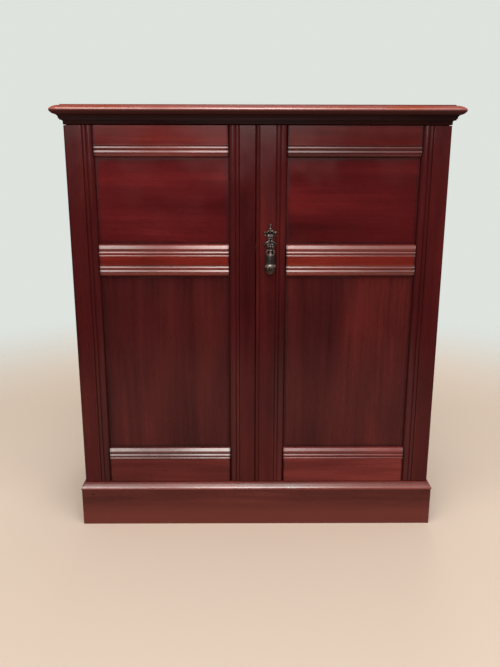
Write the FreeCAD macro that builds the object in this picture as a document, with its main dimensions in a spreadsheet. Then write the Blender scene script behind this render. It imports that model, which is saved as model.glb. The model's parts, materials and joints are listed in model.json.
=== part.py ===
"""Two-door mahogany cupboard with a moulded top, a plinth, two shelves and framed, panelled doors.

Millimetres. +Z is up, the doors face -Y and +X is to the right of someone who looks at them.
The origin is on the floor under the middle of the top board.
"""

import FreeCAD, Part
import os
from types import SimpleNamespace

import Sketcher

PARTS_FOLDER = "parts"

SIZES = {
    # whole cupboard
    "case_width": 766.0,
    "overall_height": 905.0,
    "top_depth": 406.0,
    # top board and its moulded edge
    "top_thickness": 19.0,
    "top_overhang": 21.0,
    "top_field_margin": 17.4,
    "top_field_step": 1.8,
    "top_nose_drop": 7.6,
    "top_nose_height": 7.0,
    "top_nose_round": 1.5,
    "top_upper_round": 1.6,
    "top_under_setback": 8.0,
    "top_under_round": 0.6,
    # case boards
    "side_thickness": 19.0,
    "shelf_thickness": 16.0,
    "shelf_setback": 12.0,
    "housing_depth": 6.0,
    "top_rail_depth": 60.0,
    "back_thickness": 9.5,
    "back_tongue": 5.0,
    "back_tongue_thickness": 3.5,
    "back_joint_gap": 0.8,
    # frieze over the doors and the cornice mould planted on it
    "frieze_height": 18.5,
    "frieze_arris": 1.2,
    "cornice_height": 12.0,
    "cornice_top_reach": 13.0,
    "cornice_cove_reach": 7.0,
    "cornice_cove_drop": 8.0,
    "cornice_cove_hollow": 2.0,
    "cornice_fillet_reach": 5.2,
    "cornice_fillet_drop": 2.2,
    "cornice_root_reach": 0.8,
    # plinth and the mould on top of it
    "plinth_height": 84.0,
    "plinth_thickness": 20.0,
    "plinth_projection": 8.0,
    "plinth_block_width": 25.0,
    "plinth_block_height": 70.0,
    "base_mould_height": 16.0,
    "base_fillet_reach": 1.8,
    "base_fillet_drop": 3.5,
    "base_hollow_reach": 7.0,
    "base_hollow_drop": 5.2,
    "base_hollow_dip": 0.6,
    "base_nose_reach": 8.6,
    "base_nose_foot": 0.7,
    "base_nose_round": 1.5,
    # doors
    "door_thickness": 22.0,
    "door_gap": 0.6,
    "hang_gap": 1.5,
    "meeting_line_left": 4.0,
    "outer_stile_width": 57.4,
    "meeting_sight": 59.2,
    "stile_arris": 3.5,
    "meeting_arris": 1.0,
    "top_rail_height": 61.1,
    "middle_rail_height": 66.7,
    "bottom_rail_height": 79.2,
    "middle_rail_foot": 565.5,
    # the rounded edge, bead and large round worked along the frame's inner edges
    "mould_edge_round": 2.2,
    "mould_bead_width": 7.7,
    "mould_shoulder_width": 4.6,
    "mould_shoulder_bulge": 0.58,
    "mould_fall_width": 9.6,
    "mould_fall_bulge": 2.4,
    "mould_foot_drop": 8.4,
    # panels and joints of the door frames
    "panel_drop": 9.5,
    "panel_thickness": 8.0,
    "groove_depth": 8.0,
    "panel_slack": 1.0,
    "tenon_length": 32.0,
    "tenon_end_margin": 12.0,
    # bead that hides the joint between the doors
    "closing_bead_width": 7.4,
    "closing_bead_quirk": 0.6,
    "closing_bead_seat": 4.2,
    "closing_bead_shoulder": 0.9,
    "closing_bead_proud": 0.8,
    # butt hinges
    "hinge_length": 63.0,
    "hinge_end_distance": 110.0,
    "hinge_offset": 2.0,
    "leaf_width": 16.0,
    "leaf_thickness": 1.4,
    "knuckle_radius": 2.8,
    "knuckle_clearance": 0.3,
    "knuckle_wood_clearance": 0.4,
    "hinge_pin_radius": 1.4,
    "pin_clearance": 0.05,
    "hinge_screw_pitch": 21.0,
    "hinge_screw_inset": 5.6,
    "hinge_screw_length": 15.0,
    # screws
    "small_screw_radius": 1.5,
    "small_head_radius": 2.8,
    "small_head_depth": 1.3,
    "top_screw_radius": 2.0,
    "top_screw_head_radius": 4.0,
    "top_screw_head_depth": 2.2,
    "top_screw_length": 31.0,
    "top_screw_spacing": 260.0,
    # bolts inside the left door
    "bolt_radius": 3.0,
    "bolt_clearance": 0.08,
    "bolt_length": 56.0,
    "bolt_travel": 10.0,
    "bolt_end_setback": 1.0,
    "bolt_from_meeting": 20.0,
    "bolt_plate_width": 16.0,
    "bolt_plate_length": 62.0,
    "bolt_plate_thickness": 1.5,
    "bolt_plate_end_setback": 3.0,
    "bolt_guide_width": 11.0,
    "bolt_guide_depth": 11.0,
    "bolt_guide_height": 9.0,
    "bolt_knob_radius": 2.6,
    "bolt_knob_length": 8.0,
    "bolt_knob_rise": 24.0,
    "keeper_length": 30.0,
    "keeper_width": 12.0,
    "keeper_thickness": 1.2,
    "keeper_clearance": 0.5,
    "keeper_end_room": 1.5,
    # lock in the right door
    "keyhole_rise": 15.5,
    "handle_line": 26.0,
    "lock_width": 38.0,
    "lock_height": 37.0,
    "lock_depth": 10.0,
    "lock_wall": 1.5,
    "lock_bolt_length": 24.0,
    "lock_bolt_height": 8.0,
    "lock_bolt_thickness": 5.0,
    "lock_bolt_rise": 7.0,
    "lock_bolt_travel": 9.0,
    "lock_bolt_setback": 0.3,
    "lock_bolt_clearance": 0.1,
    "keyhole_radius": 1.9,
    "keyhole_slot_width": 2.2,
    "keyhole_slot_length": 7.0,
    "strike_height": 34.0,
    "strike_thickness": 1.2,
    "strike_width": 11.0,
    "strike_clearance": 0.5,
    "strike_end_room": 2.0,
    # drop handle
    "handle_pivot_height": 627.5,
    "handle_plate_thickness": 2.0,
    "handle_plate_rise": 46.0,
    "handle_plate_fall": 9.0,
    "handle_half_width": 14.5,
    "handle_pivot_proud": 7.0,
    "handle_post_radius": 3.2,
    "handle_post_end": 2.4,
    "handle_post_root": 8.0,
    "handle_pin_radius": 1.25,
    "handle_pin_half": 6.8,
    "handle_ear_inner": 3.6,
    "handle_ear_outer": 5.9,
    "handle_ear_radius": 2.7,
    "handle_yoke_drop": 5.2,
    "handle_yoke_height": 5.0,
    "handle_yoke_half_depth": 2.4,
    "drop_length": 57.5,
    "drop_half_width": 12.0,
    "drop_half_depth": 6.2,
}

# half outline of the handle's back plate from its top: (share of the half width, share of the rise
# above the pivot or of the fall below it, bulge of the edge that follows as a share of the half width)
HANDLE_PLATE_UPPER_SHARES = (
    (0.06, 1.00, 0.06),
    (0.22, 0.90, 0.03),
    (0.13, 0.815, 0.07),
    (0.30, 0.765, 0.0),
    (0.58, 0.72, 0.08),
    (1.00, 0.62, 0.10),
    (0.62, 0.53, -0.02),
    (0.50, 0.40, -0.03),
    (0.60, 0.28, 0.06),
    (0.90, 0.17, 0.09),
    (0.52, 0.06, -0.02),
)
HANDLE_PLATE_LOWER_SHARES = (
    (0.40, 0.40, 0.06),
    (0.08, 1.00, 0.0),
)

# stations down the hanging pear: share of its length below the pivot, share of its half width,
# share of its half depth
DROP_STATION_SHARES = (
    (0.150, 0.42, 0.40),
    (0.205, 0.66, 0.52),
    (0.270, 0.66, 0.52),
    (0.420, 0.72, 0.60),
    (0.560, 0.82, 0.74),
    (0.660, 0.94, 0.92),
    (0.715, 1.00, 1.00),
    (0.780, 0.95, 0.97),
    (0.880, 0.74, 0.80),
    (0.955, 0.42, 0.48),
    (1.000, 0.12, 0.16),
)

QUARTER_ROUND_SHARE = 0.2929
BACK_BOARDS = 4
SHELVES = 2
KNUCKLES = 5
LEFT = -1
RIGHT = 1
HINGE_NAMES = ("lower", "upper")


class Measure:
    """A length that keeps the sheet formula it was worked out from."""

    def __init__(self, value, formula):
        self.value = value
        self.formula = formula

    @staticmethod
    def of(other):
        if isinstance(other, Measure):
            return other
        return Measure(float(other), f"({float(other):.6f})")

    def joined(self, other, sign, value):
        return Measure(value, f"({self.formula} {sign} {other.formula})")

    def __add__(self, other):
        other = Measure.of(other)
        return self.joined(other, "+", self.value + other.value)

    def __sub__(self, other):
        other = Measure.of(other)
        return self.joined(other, "-", self.value - other.value)

    def __mul__(self, other):
        other = Measure.of(other)
        return self.joined(other, "*", self.value * other.value)

    def __truediv__(self, other):
        other = Measure.of(other)
        return self.joined(other, "/", self.value / other.value)

    def __radd__(self, other):
        return Measure.of(other) + self

    def __rsub__(self, other):
        return Measure.of(other) - self

    def __rmul__(self, other):
        return Measure.of(other) * self

    def __neg__(self):
        return Measure.of(0) - self


doc = FreeCAD.newDocument("Cupboard")
sheet = doc.addObject("Spreadsheet::Sheet", "Sizes")
for row, (alias, value) in enumerate(SIZES.items(), start=1):
    sheet.set(f"A{row}", alias)
    sheet.set(f"B{row}", str(value))
    sheet.setAlias(f"B{row}", alias)
doc.recompute()
d = SimpleNamespace(**{alias: Measure(value, f"Sizes.{alias}") for alias, value in SIZES.items()})

TURNS = {
    "X": FreeCAD.Rotation(FreeCAD.Vector(1, 1, 1), 120),
    "Y": FreeCAD.Rotation(FreeCAD.Vector(1, 1, 1), 240),
    "Z": FreeCAD.Rotation(),
}

pieces = []


def bind(thing, name, measure):
    """Tie one property to its formula on the sheet."""
    thing.setExpression(name, Measure.of(measure).formula)


def place(thing, along, x, y, z):
    """Turn a shape that is made along Z to lie along the axis named, and move it."""
    spot = [Measure.of(coordinate) for coordinate in (x, y, z)]
    thing.Placement = FreeCAD.Placement(FreeCAD.Vector(*(c.value for c in spot)), TURNS[along])
    for letter, coordinate in zip("xyz", spot):
        bind(thing, f"Placement.Base.{letter}", coordinate)
    return thing


def in_order(ends):
    return sorted((Measure.of(end) for end in ends), key=lambda end: end.value)


def block(name, x, y, z):
    """A square-edged piece between two places along each axis."""
    solid = doc.addObject("Part::Box", name)
    lows = []
    for side, ends in zip(("Length", "Width", "Height"), (x, y, z)):
        low, high = in_order(ends)
        bind(solid, side, high - low)
        lows.append(low)
    return place(solid, "Z", *lows)


def rod(name, along, x, y, z, radius, length):
    """A round bar that starts at the place given and runs up its axis."""
    solid = doc.addObject("Part::Cylinder", name)
    bind(solid, "Radius", radius)
    bind(solid, "Height", length)
    return place(solid, along, x, y, z)


def cone(name, along, x, y, z, start_radius, end_radius, length):
    solid = doc.addObject("Part::Cone", name)
    bind(solid, "Radius1", start_radius)
    bind(solid, "Radius2", end_radius)
    bind(solid, "Height", length)
    return place(solid, along, x, y, z)


def fuse(name, solids):
    joined = doc.addObject("Part::MultiFuse", name)
    joined.Shapes = solids
    joined.Refine = True
    return joined


def cut(name, base, tools):
    """Take each tool out of the base in turn."""
    for number, tool in enumerate(tools, start=1):
        last = number == len(tools)
        step = doc.addObject("Part::Cut", name if last else f"{name}_cut_{number}")
        step.Base = base
        step.Tool = tool
        base = step
    return base


def common(name, first, second):
    shared = doc.addObject("Part::Common", name)
    shared.Base = first
    shared.Tool = second
    return shared


def group(name, solids):
    """Several loose pieces of one kind."""
    bundle = doc.addObject("Part::Compound", name)
    bundle.Links = solids
    return bundle


def outline_area(points):
    following = points[1:] + points[:1]
    return sum(a[0].value * b[1].value - b[0].value * a[1].value for a, b in zip(points, following)) / 2


def draw_outline(sketch, points):
    """Close an outline of points (across, up, bulge), every point and arc tied to its formula.

    A bulge other than zero makes the edge to the next point an arc. A positive one swells out of
    the material and a negative one hollows it.
    """
    count = len(points)
    outward = 1 if outline_area(points) > 0 else -1
    corners = [FreeCAD.Vector(point[0].value, point[1].value, 0) for point in points]
    edges = []
    for index in range(count):
        start = corners[index]
        end = corners[(index + 1) % count]
        bulge = points[index][2].value
        if bulge:
            chord = end - start
            sideways = FreeCAD.Vector(chord.y, -chord.x, 0).normalize()
            middle = (start + end) / 2 + sideways * (bulge * outward)
            number = sketch.addGeometry(Part.Arc(start, middle, end))
        else:
            number = sketch.addGeometry(Part.LineSegment(start, end))
        first_end = sketch.getPoint(number, 1)
        last_end = sketch.getPoint(number, 2)
        forwards = (first_end - start).Length < (last_end - start).Length
        edges.append((number, 1, 2) if forwards else (number, 2, 1))
    for index in range(count):
        number, first, last = edges[index]
        next_number, next_first, next_last = edges[(index + 1) % count]
        sketch.addConstraint(Sketcher.Constraint("Coincident", number, last, next_number, next_first))
    for index in range(count):
        number, first, last = edges[index]
        across, up, bulge = points[index]
        next_across, next_up, next_bulge = points[(index + 1) % count]
        for kind, measure in (("DistanceX", across), ("DistanceY", up)):
            tie(sketch, Sketcher.Constraint(kind, number, first, measure.value), f"{kind}_{index}", measure)
        if bulge.value:
            rise = bulge if bulge.value > 0 else -bulge
            run = next_across - across
            climb = next_up - up
            radius = (run * run + climb * climb) / (rise * 8) + rise / 2
            tie(sketch, Sketcher.Constraint("Radius", number, radius.value), f"Radius_{index}", radius)


def tie(sketch, constraint, name, measure):
    number = sketch.addConstraint(constraint)
    sketch.renameConstraint(number, name)
    bind(sketch, f"Constraints.{name}", measure)


def prism(name, along, points, low, high):
    """An outline carried along an axis.

    The outline's two directions follow the axis in the order X, Y, Z, X: (y, z) along X,
    (z, x) along Y and (x, y) along Z.
    """
    full = [tuple(Measure.of(part) for part in (*point, 0, 0)[:3]) for point in points]
    low, high = in_order((low, high))
    body = doc.addObject("PartDesign::Body", name)
    sketch = body.newObject("Sketcher::SketchObject", f"{name}_outline")
    plane = next(feature for feature in body.Origin.OriginFeatures if feature.Role == "XY_Plane")
    sketch.AttachmentSupport = (plane, "")
    sketch.MapMode = "FlatFace"
    draw_outline(sketch, full)
    pad = body.newObject("PartDesign::Pad", f"{name}_length")
    pad.Profile = sketch
    bind(pad, "Length", high - low)
    spot = {"X": 0, "Y": 0, "Z": 0}
    spot[along] = low
    return place(body, along, spot["X"], spot["Y"], spot["Z"])


def keep(label, solid):
    """Name a finished piece."""
    solid.Label = label
    pieces.append(solid)
    return solid


def quarter(radius):
    return radius * QUARTER_ROUND_SHARE


# levels and faces that several pieces share
half_width = d.case_width / 2
front_edge = -d.top_depth / 2
case_back = d.top_depth / 2
door_face = front_edge + d.top_overhang
door_back = door_face + d.door_thickness
case_front = door_back + d.door_gap
side_inner = half_width - d.side_thickness
inner_back = case_back - d.back_thickness
plinth_top = d.plinth_height
floor_level = plinth_top + d.base_mould_height
door_foot = floor_level + d.hang_gap
under_top = d.overall_height - d.top_thickness
frieze_foot = under_top - d.frieze_height
door_head = frieze_foot - d.hang_gap
rail_foot = under_top - d.side_thickness
meeting_line = -d.meeting_line_left
left_meeting_edge = meeting_line - d.hang_gap / 2
right_meeting_edge = meeting_line + d.hang_gap / 2
keyhole_height = d.handle_pivot_height + d.keyhole_rise


def screw(name, along, way, x, y, z, shank, head, head_depth, length):
    """A countersunk screw whose head is flush with the face it enters, going up or down its axis."""
    parts = {"X": x, "Y": y, "Z": z}
    face = Measure.of(parts[along])
    near = face if way > 0 else face - head_depth
    parts[along] = near
    wide_end = head if way > 0 else shank
    narrow_end = shank if way > 0 else head
    top = cone(f"{name}_head", along, parts["X"], parts["Y"], parts["Z"], wide_end, narrow_end, head_depth)
    parts[along] = face + head_depth if way > 0 else face - length
    rest = rod(f"{name}_shank", along, parts["X"], parts["Y"], parts["Z"], shank, length - head_depth)
    return fuse(name, [top, rest])


def small_screw(name, way, x, y, z):
    """A hinge screw that enters the face y along +Y or -Y."""
    return screw(
        name, "Y", way, x, y, z,
        d.small_screw_radius, d.small_head_radius, d.small_head_depth, d.hinge_screw_length,
    )


# Top board

def top_edge(corner, way):
    """Moulded edge from the field to the underside, as (distance across, height, bulge)."""
    tip = corner - way * d.top_nose_round
    nose_top = d.overall_height - d.top_nose_drop
    field = corner - way * d.top_field_margin
    under = corner - way * d.top_under_setback
    return [
        (field, d.overall_height, 0),
        (field, d.overall_height - d.top_field_step, d.top_upper_round),
        (tip, nose_top, d.top_nose_round),
        (tip, nose_top - d.top_nose_height, d.top_under_round),
        (under, under_top, 0),
    ]


def turned_back(points):
    """The same edge followed the other way, each bulge moved to the edge it belongs to."""
    backwards = points[::-1]
    bulges = [point[2] for point in backwards[1:]] + [0]
    return [(point[0], point[1], bulge) for point, bulge in zip(backwards, bulges)]


def swapped(points):
    return [(point[1], point[0], point[2]) for point in points]


def make_top_board():
    reach = half_width + d.top_overhang
    right_edge = top_edge(reach, RIGHT)
    left_edge = turned_back(top_edge(-reach, LEFT))
    lengthwise = prism("top_sides", "Y", swapped(right_edge + left_edge), front_edge, case_back)
    front = turned_back(top_edge(front_edge, LEFT))
    straight_back = [(case_back, d.overall_height, 0), (case_back, under_top, 0)]
    crosswise = prism("top_front", "X", front + straight_back, -reach, reach)
    return common("top_blank", lengthwise, crosswise)


# Mitred mouldings

def mitred_front(name, profile, inner, reach, foot, head):
    """A moulding across the front, mitred at both ends, that reaches back to the case."""
    long_edge = half_width + reach
    length = prism(f"{name}_run", "X", profile, -long_edge, long_edge)
    plan = [
        (-long_edge, door_face - reach, 0),
        (long_edge, door_face - reach, 0),
        (half_width, door_face, 0),
    ]
    if inner is not None:
        plan += [(half_width, inner, 0), (-half_width, inner, 0)]
    plan.append((-half_width, door_face, 0))
    return common(name, length, prism(f"{name}_plan", "Z", plan, foot, head))


def mitred_side(name, side, profile, reach, foot, head):
    """A moulding along one side, mitred at the front corner."""
    length = prism(f"{name}_run", "Y", profile, door_face - reach, case_back)
    plan = [
        (side * half_width, door_face, 0),
        (side * (half_width + reach), door_face - reach, 0),
        (side * (half_width + reach), case_back, 0),
        (side * half_width, case_back, 0),
    ]
    return common(name, length, prism(f"{name}_plan", "Z", plan, foot, head))


def cornice_profile():
    """Reach from the face it is planted on and height, from the root up to the top board."""
    foot = under_top - d.cornice_height
    cove_foot = under_top - d.cornice_cove_drop
    fillet_foot = cove_foot - d.cornice_fillet_drop
    return [
        (d.cornice_root_reach, foot, 0),
        (d.cornice_root_reach, fillet_foot, 0),
        (d.cornice_fillet_reach, fillet_foot, 0),
        (d.cornice_fillet_reach, cove_foot, 0),
        (d.cornice_cove_reach, cove_foot, -d.cornice_cove_hollow),
        (d.cornice_top_reach, under_top, 0),
    ]


def base_profile():
    """Reach and height, from the plinth's top edge up to the flat under the doors."""
    fillet_foot = floor_level - d.base_fillet_drop
    nose_top = fillet_foot - d.base_hollow_drop
    return [
        (d.plinth_projection, plinth_top, 0),
        (d.base_nose_reach, plinth_top + d.base_nose_foot, d.base_nose_round),
        (d.base_hollow_reach, nose_top, -d.base_hollow_dip),
        (d.base_fillet_reach, fillet_foot, 0),
        (d.base_fillet_reach, floor_level, 0),
    ]


def front_run(profile, inner):
    """A profile turned to face the front, as (y, z), closed at its back."""
    run = [(door_face - reach, height, bulge) for reach, height, bulge in profile]
    return run + [(inner, profile[-1][1], 0), (inner, profile[0][1], 0)]


def side_run(profile, side):
    """A profile turned to face one side, as (z, x), closed on the side board."""
    run = [(height, side * (half_width + reach), bulge) for reach, height, bulge in profile]
    return run + [(profile[-1][1], side * half_width, 0), (profile[0][1], side * half_width, 0)]


def make_cornice():
    foot = under_top - d.cornice_height
    reach = d.cornice_top_reach
    front = front_run(cornice_profile(), door_face)
    keep("cornice_front", mitred_front("cornice_front_solid", front, None, reach, foot, under_top))
    for side, word in ((LEFT, "left"), (RIGHT, "right")):
        run = side_run(cornice_profile(), side)
        keep(f"cornice_{word}", mitred_side(f"cornice_{word}_solid", side, run, reach, foot, under_top))


def make_base_moulding():
    reach = d.base_nose_reach + d.base_nose_round
    front = front_run(base_profile(), case_front)
    solid = mitred_front("base_front_solid", front, case_front, reach, plinth_top, floor_level)
    keep("base_moulding_front", solid)
    for side, word in ((LEFT, "left"), (RIGHT, "right")):
        run = side_run(base_profile(), side)
        solid = mitred_side(f"base_{word}_solid", side, run, reach, plinth_top, floor_level)
        keep(f"base_moulding_{word}", solid)


# Plinth

def make_plinth():
    outer = half_width + d.plinth_projection
    inner = outer - d.plinth_thickness
    face = door_face - d.plinth_projection
    inside = face + d.plinth_thickness
    front = [(-outer, face, 0), (outer, face, 0), (inner, inside, 0), (-inner, inside, 0)]
    keep("plinth_front", prism("plinth_front_solid", "Z", front, 0, plinth_top))
    for side, word in ((LEFT, "left"), (RIGHT, "right")):
        plan = [
            (side * outer, face, 0),
            (side * outer, case_back, 0),
            (side * inner, case_back, 0),
            (side * inner, inside, 0),
        ]
        keep(f"plinth_{word}", prism(f"plinth_{word}_solid", "Z", plan, 0, plinth_top))
    rear = case_back - d.plinth_thickness
    keep("plinth_back", block("plinth_back_solid", (-inner, inner), (rear, case_back), (0, plinth_top)))
    blocks = []
    for side, word in ((LEFT, "left"), (RIGHT, "right")):
        x = (side * inner, side * (inner - d.plinth_block_width))
        for end, start, stop in (
            ("front", inside, inside + d.plinth_block_width),
            ("back", rear - d.plinth_block_width, rear),
        ):
            z = (plinth_top - d.plinth_block_height, plinth_top)
            blocks.append(block(f"plinth_block_{word}_{end}", x, (start, stop), z))
    keep("plinth_corner_blocks", group("plinth_blocks", blocks))


# Hinges

def hinge_height(place_name):
    if place_name == "lower":
        return door_foot + d.hinge_end_distance
    return door_head - d.hinge_end_distance


def hinge_axis_x(side):
    return side * (half_width + d.hinge_offset)


hinge_axis_y = (door_back + case_front) / 2


def hinge_leaf(name, side, centre, face, way, own_knuckles, bore):
    """One leaf: a plate let into the wood, with its share of the knuckles round the pin."""
    axis_x = hinge_axis_x(side)
    foot = centre - d.hinge_length / 2
    far = axis_x - side * d.leaf_width
    near = axis_x - side * (d.knuckle_radius + d.knuckle_clearance)
    y = (face, face + way * d.leaf_thickness)
    plate = block(f"{name}_plate", (far, near), y, (foot, foot + d.hinge_length))
    solids = [plate]
    step = d.hinge_length / KNUCKLES
    for number in own_knuckles:
        low = foot + step * number + d.knuckle_clearance / 2
        length = step - d.knuckle_clearance
        solids.append(block(f"{name}_strap_{number}", (far, axis_x), y, (low, low + length)))
        spot = (axis_x, hinge_axis_y, low)
        solids.append(rod(f"{name}_knuckle_{number}", "Z", *spot, d.knuckle_radius, length))
    hole = rod(f"{name}_bore", "Z", axis_x, hinge_axis_y, foot, bore, d.hinge_length)
    return cut(f"{name}_bored", fuse(f"{name}_joined", solids), [hole])


def leaf_screws(name, side, centre, face, way):
    x = hinge_axis_x(side) - side * (d.leaf_width - d.hinge_screw_inset)
    heights = (centre - d.hinge_screw_pitch, centre, centre + d.hinge_screw_pitch)
    return [small_screw(f"{name}_screw_{n}", way, x, face, height) for n, height in enumerate(heights)]


def leaf_recess(name, side, centre, face, way):
    """What is cut from the wood for a leaf and for the knuckles beside it."""
    foot = centre - d.hinge_length / 2
    far = hinge_axis_x(side) - side * d.leaf_width
    y = (face, face + way * d.leaf_thickness)
    seat = block(f"{name}_seat", (far, side * half_width), y, (foot, foot + d.hinge_length))
    radius = d.knuckle_radius + d.knuckle_wood_clearance
    room = rod(f"{name}_room", "Z", hinge_axis_x(side), hinge_axis_y, foot, radius, d.hinge_length)
    return [seat, room]


def make_hinges():
    """Both leaves, the screws and the pins of the four hinges, and the tools that seat them."""
    tools = {}
    pins = []
    case_screws = []
    for side, word in ((LEFT, "left"), (RIGHT, "right")):
        case_leaves = []
        door_leaves = []
        door_screws = []
        case_tools = []
        door_tools = []
        for where in HINGE_NAMES:
            centre = hinge_height(where)
            name = f"{word}_{where}"
            foot = centre - d.hinge_length / 2
            pin_place = (hinge_axis_x(side), hinge_axis_y, foot)
            pins.append(rod(f"{name}_pin", "Z", *pin_place, d.hinge_pin_radius, d.hinge_length))
            screws = leaf_screws(f"{name}_case", side, centre, case_front, RIGHT)
            leaf = hinge_leaf(
                f"{name}_case_leaf", side, centre, case_front, 1, range(0, KNUCKLES, 2), d.hinge_pin_radius
            )
            case_leaves.append(cut(f"{name}_case_leaf_solid", leaf, screws))
            case_tools += leaf_recess(f"{name}_case", side, centre, case_front, 1) + screws
            case_screws += screws
            screws = leaf_screws(f"{name}_door", side, centre, door_back, LEFT)
            bore = d.hinge_pin_radius + d.pin_clearance
            leaf = hinge_leaf(
                f"{name}_door_leaf", side, centre, door_back, -1, range(1, KNUCKLES, 2), bore
            )
            door_leaves.append(cut(f"{name}_door_leaf_solid", leaf, screws))
            door_tools += leaf_recess(f"{name}_door", side, centre, door_back, -1) + screws
            door_screws += screws
        keep(f"{word}_case_hinge_leaves", group(f"{word}_case_leaves", case_leaves))
        keep(f"{word}_door_hinge_leaves", group(f"{word}_door_leaves", door_leaves))
        tools[word] = SimpleNamespace(case=case_tools, door=door_tools, screws=door_screws)
    keep("hinge_pins", group("all_hinge_pins", pins))
    keep("case_hinge_screws", group("all_case_hinge_screws", case_screws))
    return tools


# Case

def shelf_foot(number):
    """Underside of a shelf, the spaces between floor, shelves and top rail being equal."""
    clear = rail_foot - floor_level - SHELVES * d.shelf_thickness
    return floor_level + clear * (number / (SHELVES + 1)) + d.shelf_thickness * (number - 1)


def make_case(hinge_tools, bolt_tools):
    reach = side_inner + d.housing_depth
    floor_z = (floor_level - d.shelf_thickness, floor_level)
    floor_board = block("case_floor", (-reach, reach), (case_front, inner_back), floor_z)
    keep("case_bottom", cut("case_floor_solid", floor_board, bolt_tools["lower"]))
    tools = [floor_board]
    for number, word in ((1, "lower"), (2, "upper")):
        foot = shelf_foot(number)
        y = (case_front + d.shelf_setback, inner_back)
        shelf = block(f"{word}_shelf_board", (-reach, reach), y, (foot, foot + d.shelf_thickness))
        tools.append(keep(f"{word}_shelf", shelf))
    z = (rail_foot, under_top)
    front_y = (case_front, case_front + d.top_rail_depth)
    back_y = (inner_back - d.top_rail_depth, inner_back)
    front_rail = block("front_rail_board", (-reach, reach), front_y, z)
    back_rail = block("back_rail_board", (-reach, reach), back_y, z)
    screws = make_top_screws(front_y, back_y)
    keep("top_front_rail", cut("front_rail_solid", front_rail, bolt_tools["upper"] + screws["front"]))
    keep("top_back_rail", cut("back_rail_solid", back_rail, screws["back"]))
    all_screws = screws["front"] + screws["back"]
    keep("top_screws", group("all_top_screws", all_screws))
    keep("top_board", cut("top_board_solid", make_top_board(), all_screws))
    tools += [front_rail, back_rail]
    rebate = block(
        "back_rebate",
        (-side_inner - d.back_thickness, side_inner + d.back_thickness),
        (inner_back, case_back),
        (plinth_top, under_top),
    )
    tools.append(rebate)
    for side, word in ((LEFT, "left"), (RIGHT, "right")):
        x = (side * side_inner, side * half_width)
        board = block(f"{word}_side_board", x, (case_front, case_back), (plinth_top, under_top))
        solid = cut(f"{word}_side_solid", board, tools + hinge_tools[word].case)
        keep(f"{word}_side", solid)
    frieze = [
        (door_face, frieze_foot + d.frieze_arris, quarter(d.frieze_arris)),
        (door_face + d.frieze_arris, frieze_foot, 0),
        (case_front, frieze_foot, 0),
        (case_front, under_top, 0),
        (door_face, under_top, 0),
    ]
    keep("frieze_rail", prism("frieze_board", "X", frieze, -half_width, half_width))


def make_top_screws(front_y, back_y):
    """Screws up through the two top rails into the top board."""
    rows = {}
    for word, ends in (("front", front_y), ("back", back_y)):
        y = (ends[0] + ends[1]) / 2
        rows[word] = [
            screw(
                f"top_screw_{word}_{number}", "Z", 1, d.top_screw_spacing * (number - 1), y, rail_foot,
                d.top_screw_radius, d.top_screw_head_radius, d.top_screw_head_depth, d.top_screw_length,
            )
            for number in range(3)
        ]
    return rows


def make_back():
    """Upright boards, each with a tongue on its right edge in the next board's groove."""
    left = -side_inner - d.back_thickness
    width = (side_inner + d.back_thickness) * 2 / BACK_BOARDS
    tongue_front = inner_back + (d.back_thickness - d.back_tongue_thickness) / 2
    tongue_back = tongue_front + d.back_tongue_thickness
    for number in range(BACK_BOARDS):
        start = left + width * number
        end = start + width - (d.back_joint_gap if number < BACK_BOARDS - 1 else 0)
        plan = [(start, inner_back, 0), (end, inner_back, 0)]
        if number < BACK_BOARDS - 1:
            tip = end + d.back_tongue
            plan += [
                (end, tongue_front, 0),
                (tip, tongue_front, 0),
                (tip, tongue_back, 0),
                (end, tongue_back, 0),
            ]
        plan += [(end, case_back, 0), (start, case_back, 0)]
        if number:
            seat = start + d.back_tongue
            plan += [
                (start, tongue_back, 0),
                (seat, tongue_back, 0),
                (seat, tongue_front, 0),
                (start, tongue_front, 0),
            ]
        name = f"back_board_{number + 1}"
        keep(name, prism(f"{name}_solid", "Z", plan, plinth_top, under_top))


# Door frames

def moulded_edge(edge, way):
    """Rounded edge, bead and large round, from the flat to the sight edge, as (place, depth, bulge)."""
    crest = d.mould_fall_width
    shoulder = crest + d.mould_shoulder_width
    bead = shoulder + d.mould_bead_width
    valley_depth = d.mould_edge_round
    steps = [
        (bead + d.mould_edge_round, 0, quarter(d.mould_edge_round)),
        (bead, valley_depth, valley_depth),
        (shoulder, valley_depth, d.mould_shoulder_bulge),
        (crest, 0, d.mould_fall_bulge),
        (Measure.of(0), d.mould_foot_drop, 0),
    ]
    return [(edge + way * across, door_face + drop, bulge) for across, drop, bulge in steps]


groove_front = door_face + d.panel_drop
groove_back = groove_front + d.panel_thickness


def grooved_edge(edge, way):
    """The sight edge from the foot of the moulding round the panel groove to the back."""
    bottom = edge + way * d.groove_depth
    return [
        (edge, groove_front, 0),
        (bottom, groove_front, 0),
        (bottom, groove_back, 0),
        (edge, groove_back, 0),
        (edge, door_back, 0),
    ]


def stile_outline(outer, sight, arris, bead_seat):
    """Plan of a stile, from its back outer corner round the front to its back inner corner."""
    way = 1 if outer.value > sight.value else -1
    if bead_seat:
        seat = outer - way * (d.closing_bead_width + d.closing_bead_quirk)
        front = [
            (outer, door_face + d.closing_bead_seat, 0),
            (seat, door_face + d.closing_bead_seat, 0),
            (seat, door_face, 0),
        ]
    else:
        front = [(outer, door_face + arris, quarter(arris)), (outer - way * arris, door_face, 0)]
    return [(outer, door_back, 0), *front, *moulded_edge(sight, way), *grooved_edge(sight, way)]


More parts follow.
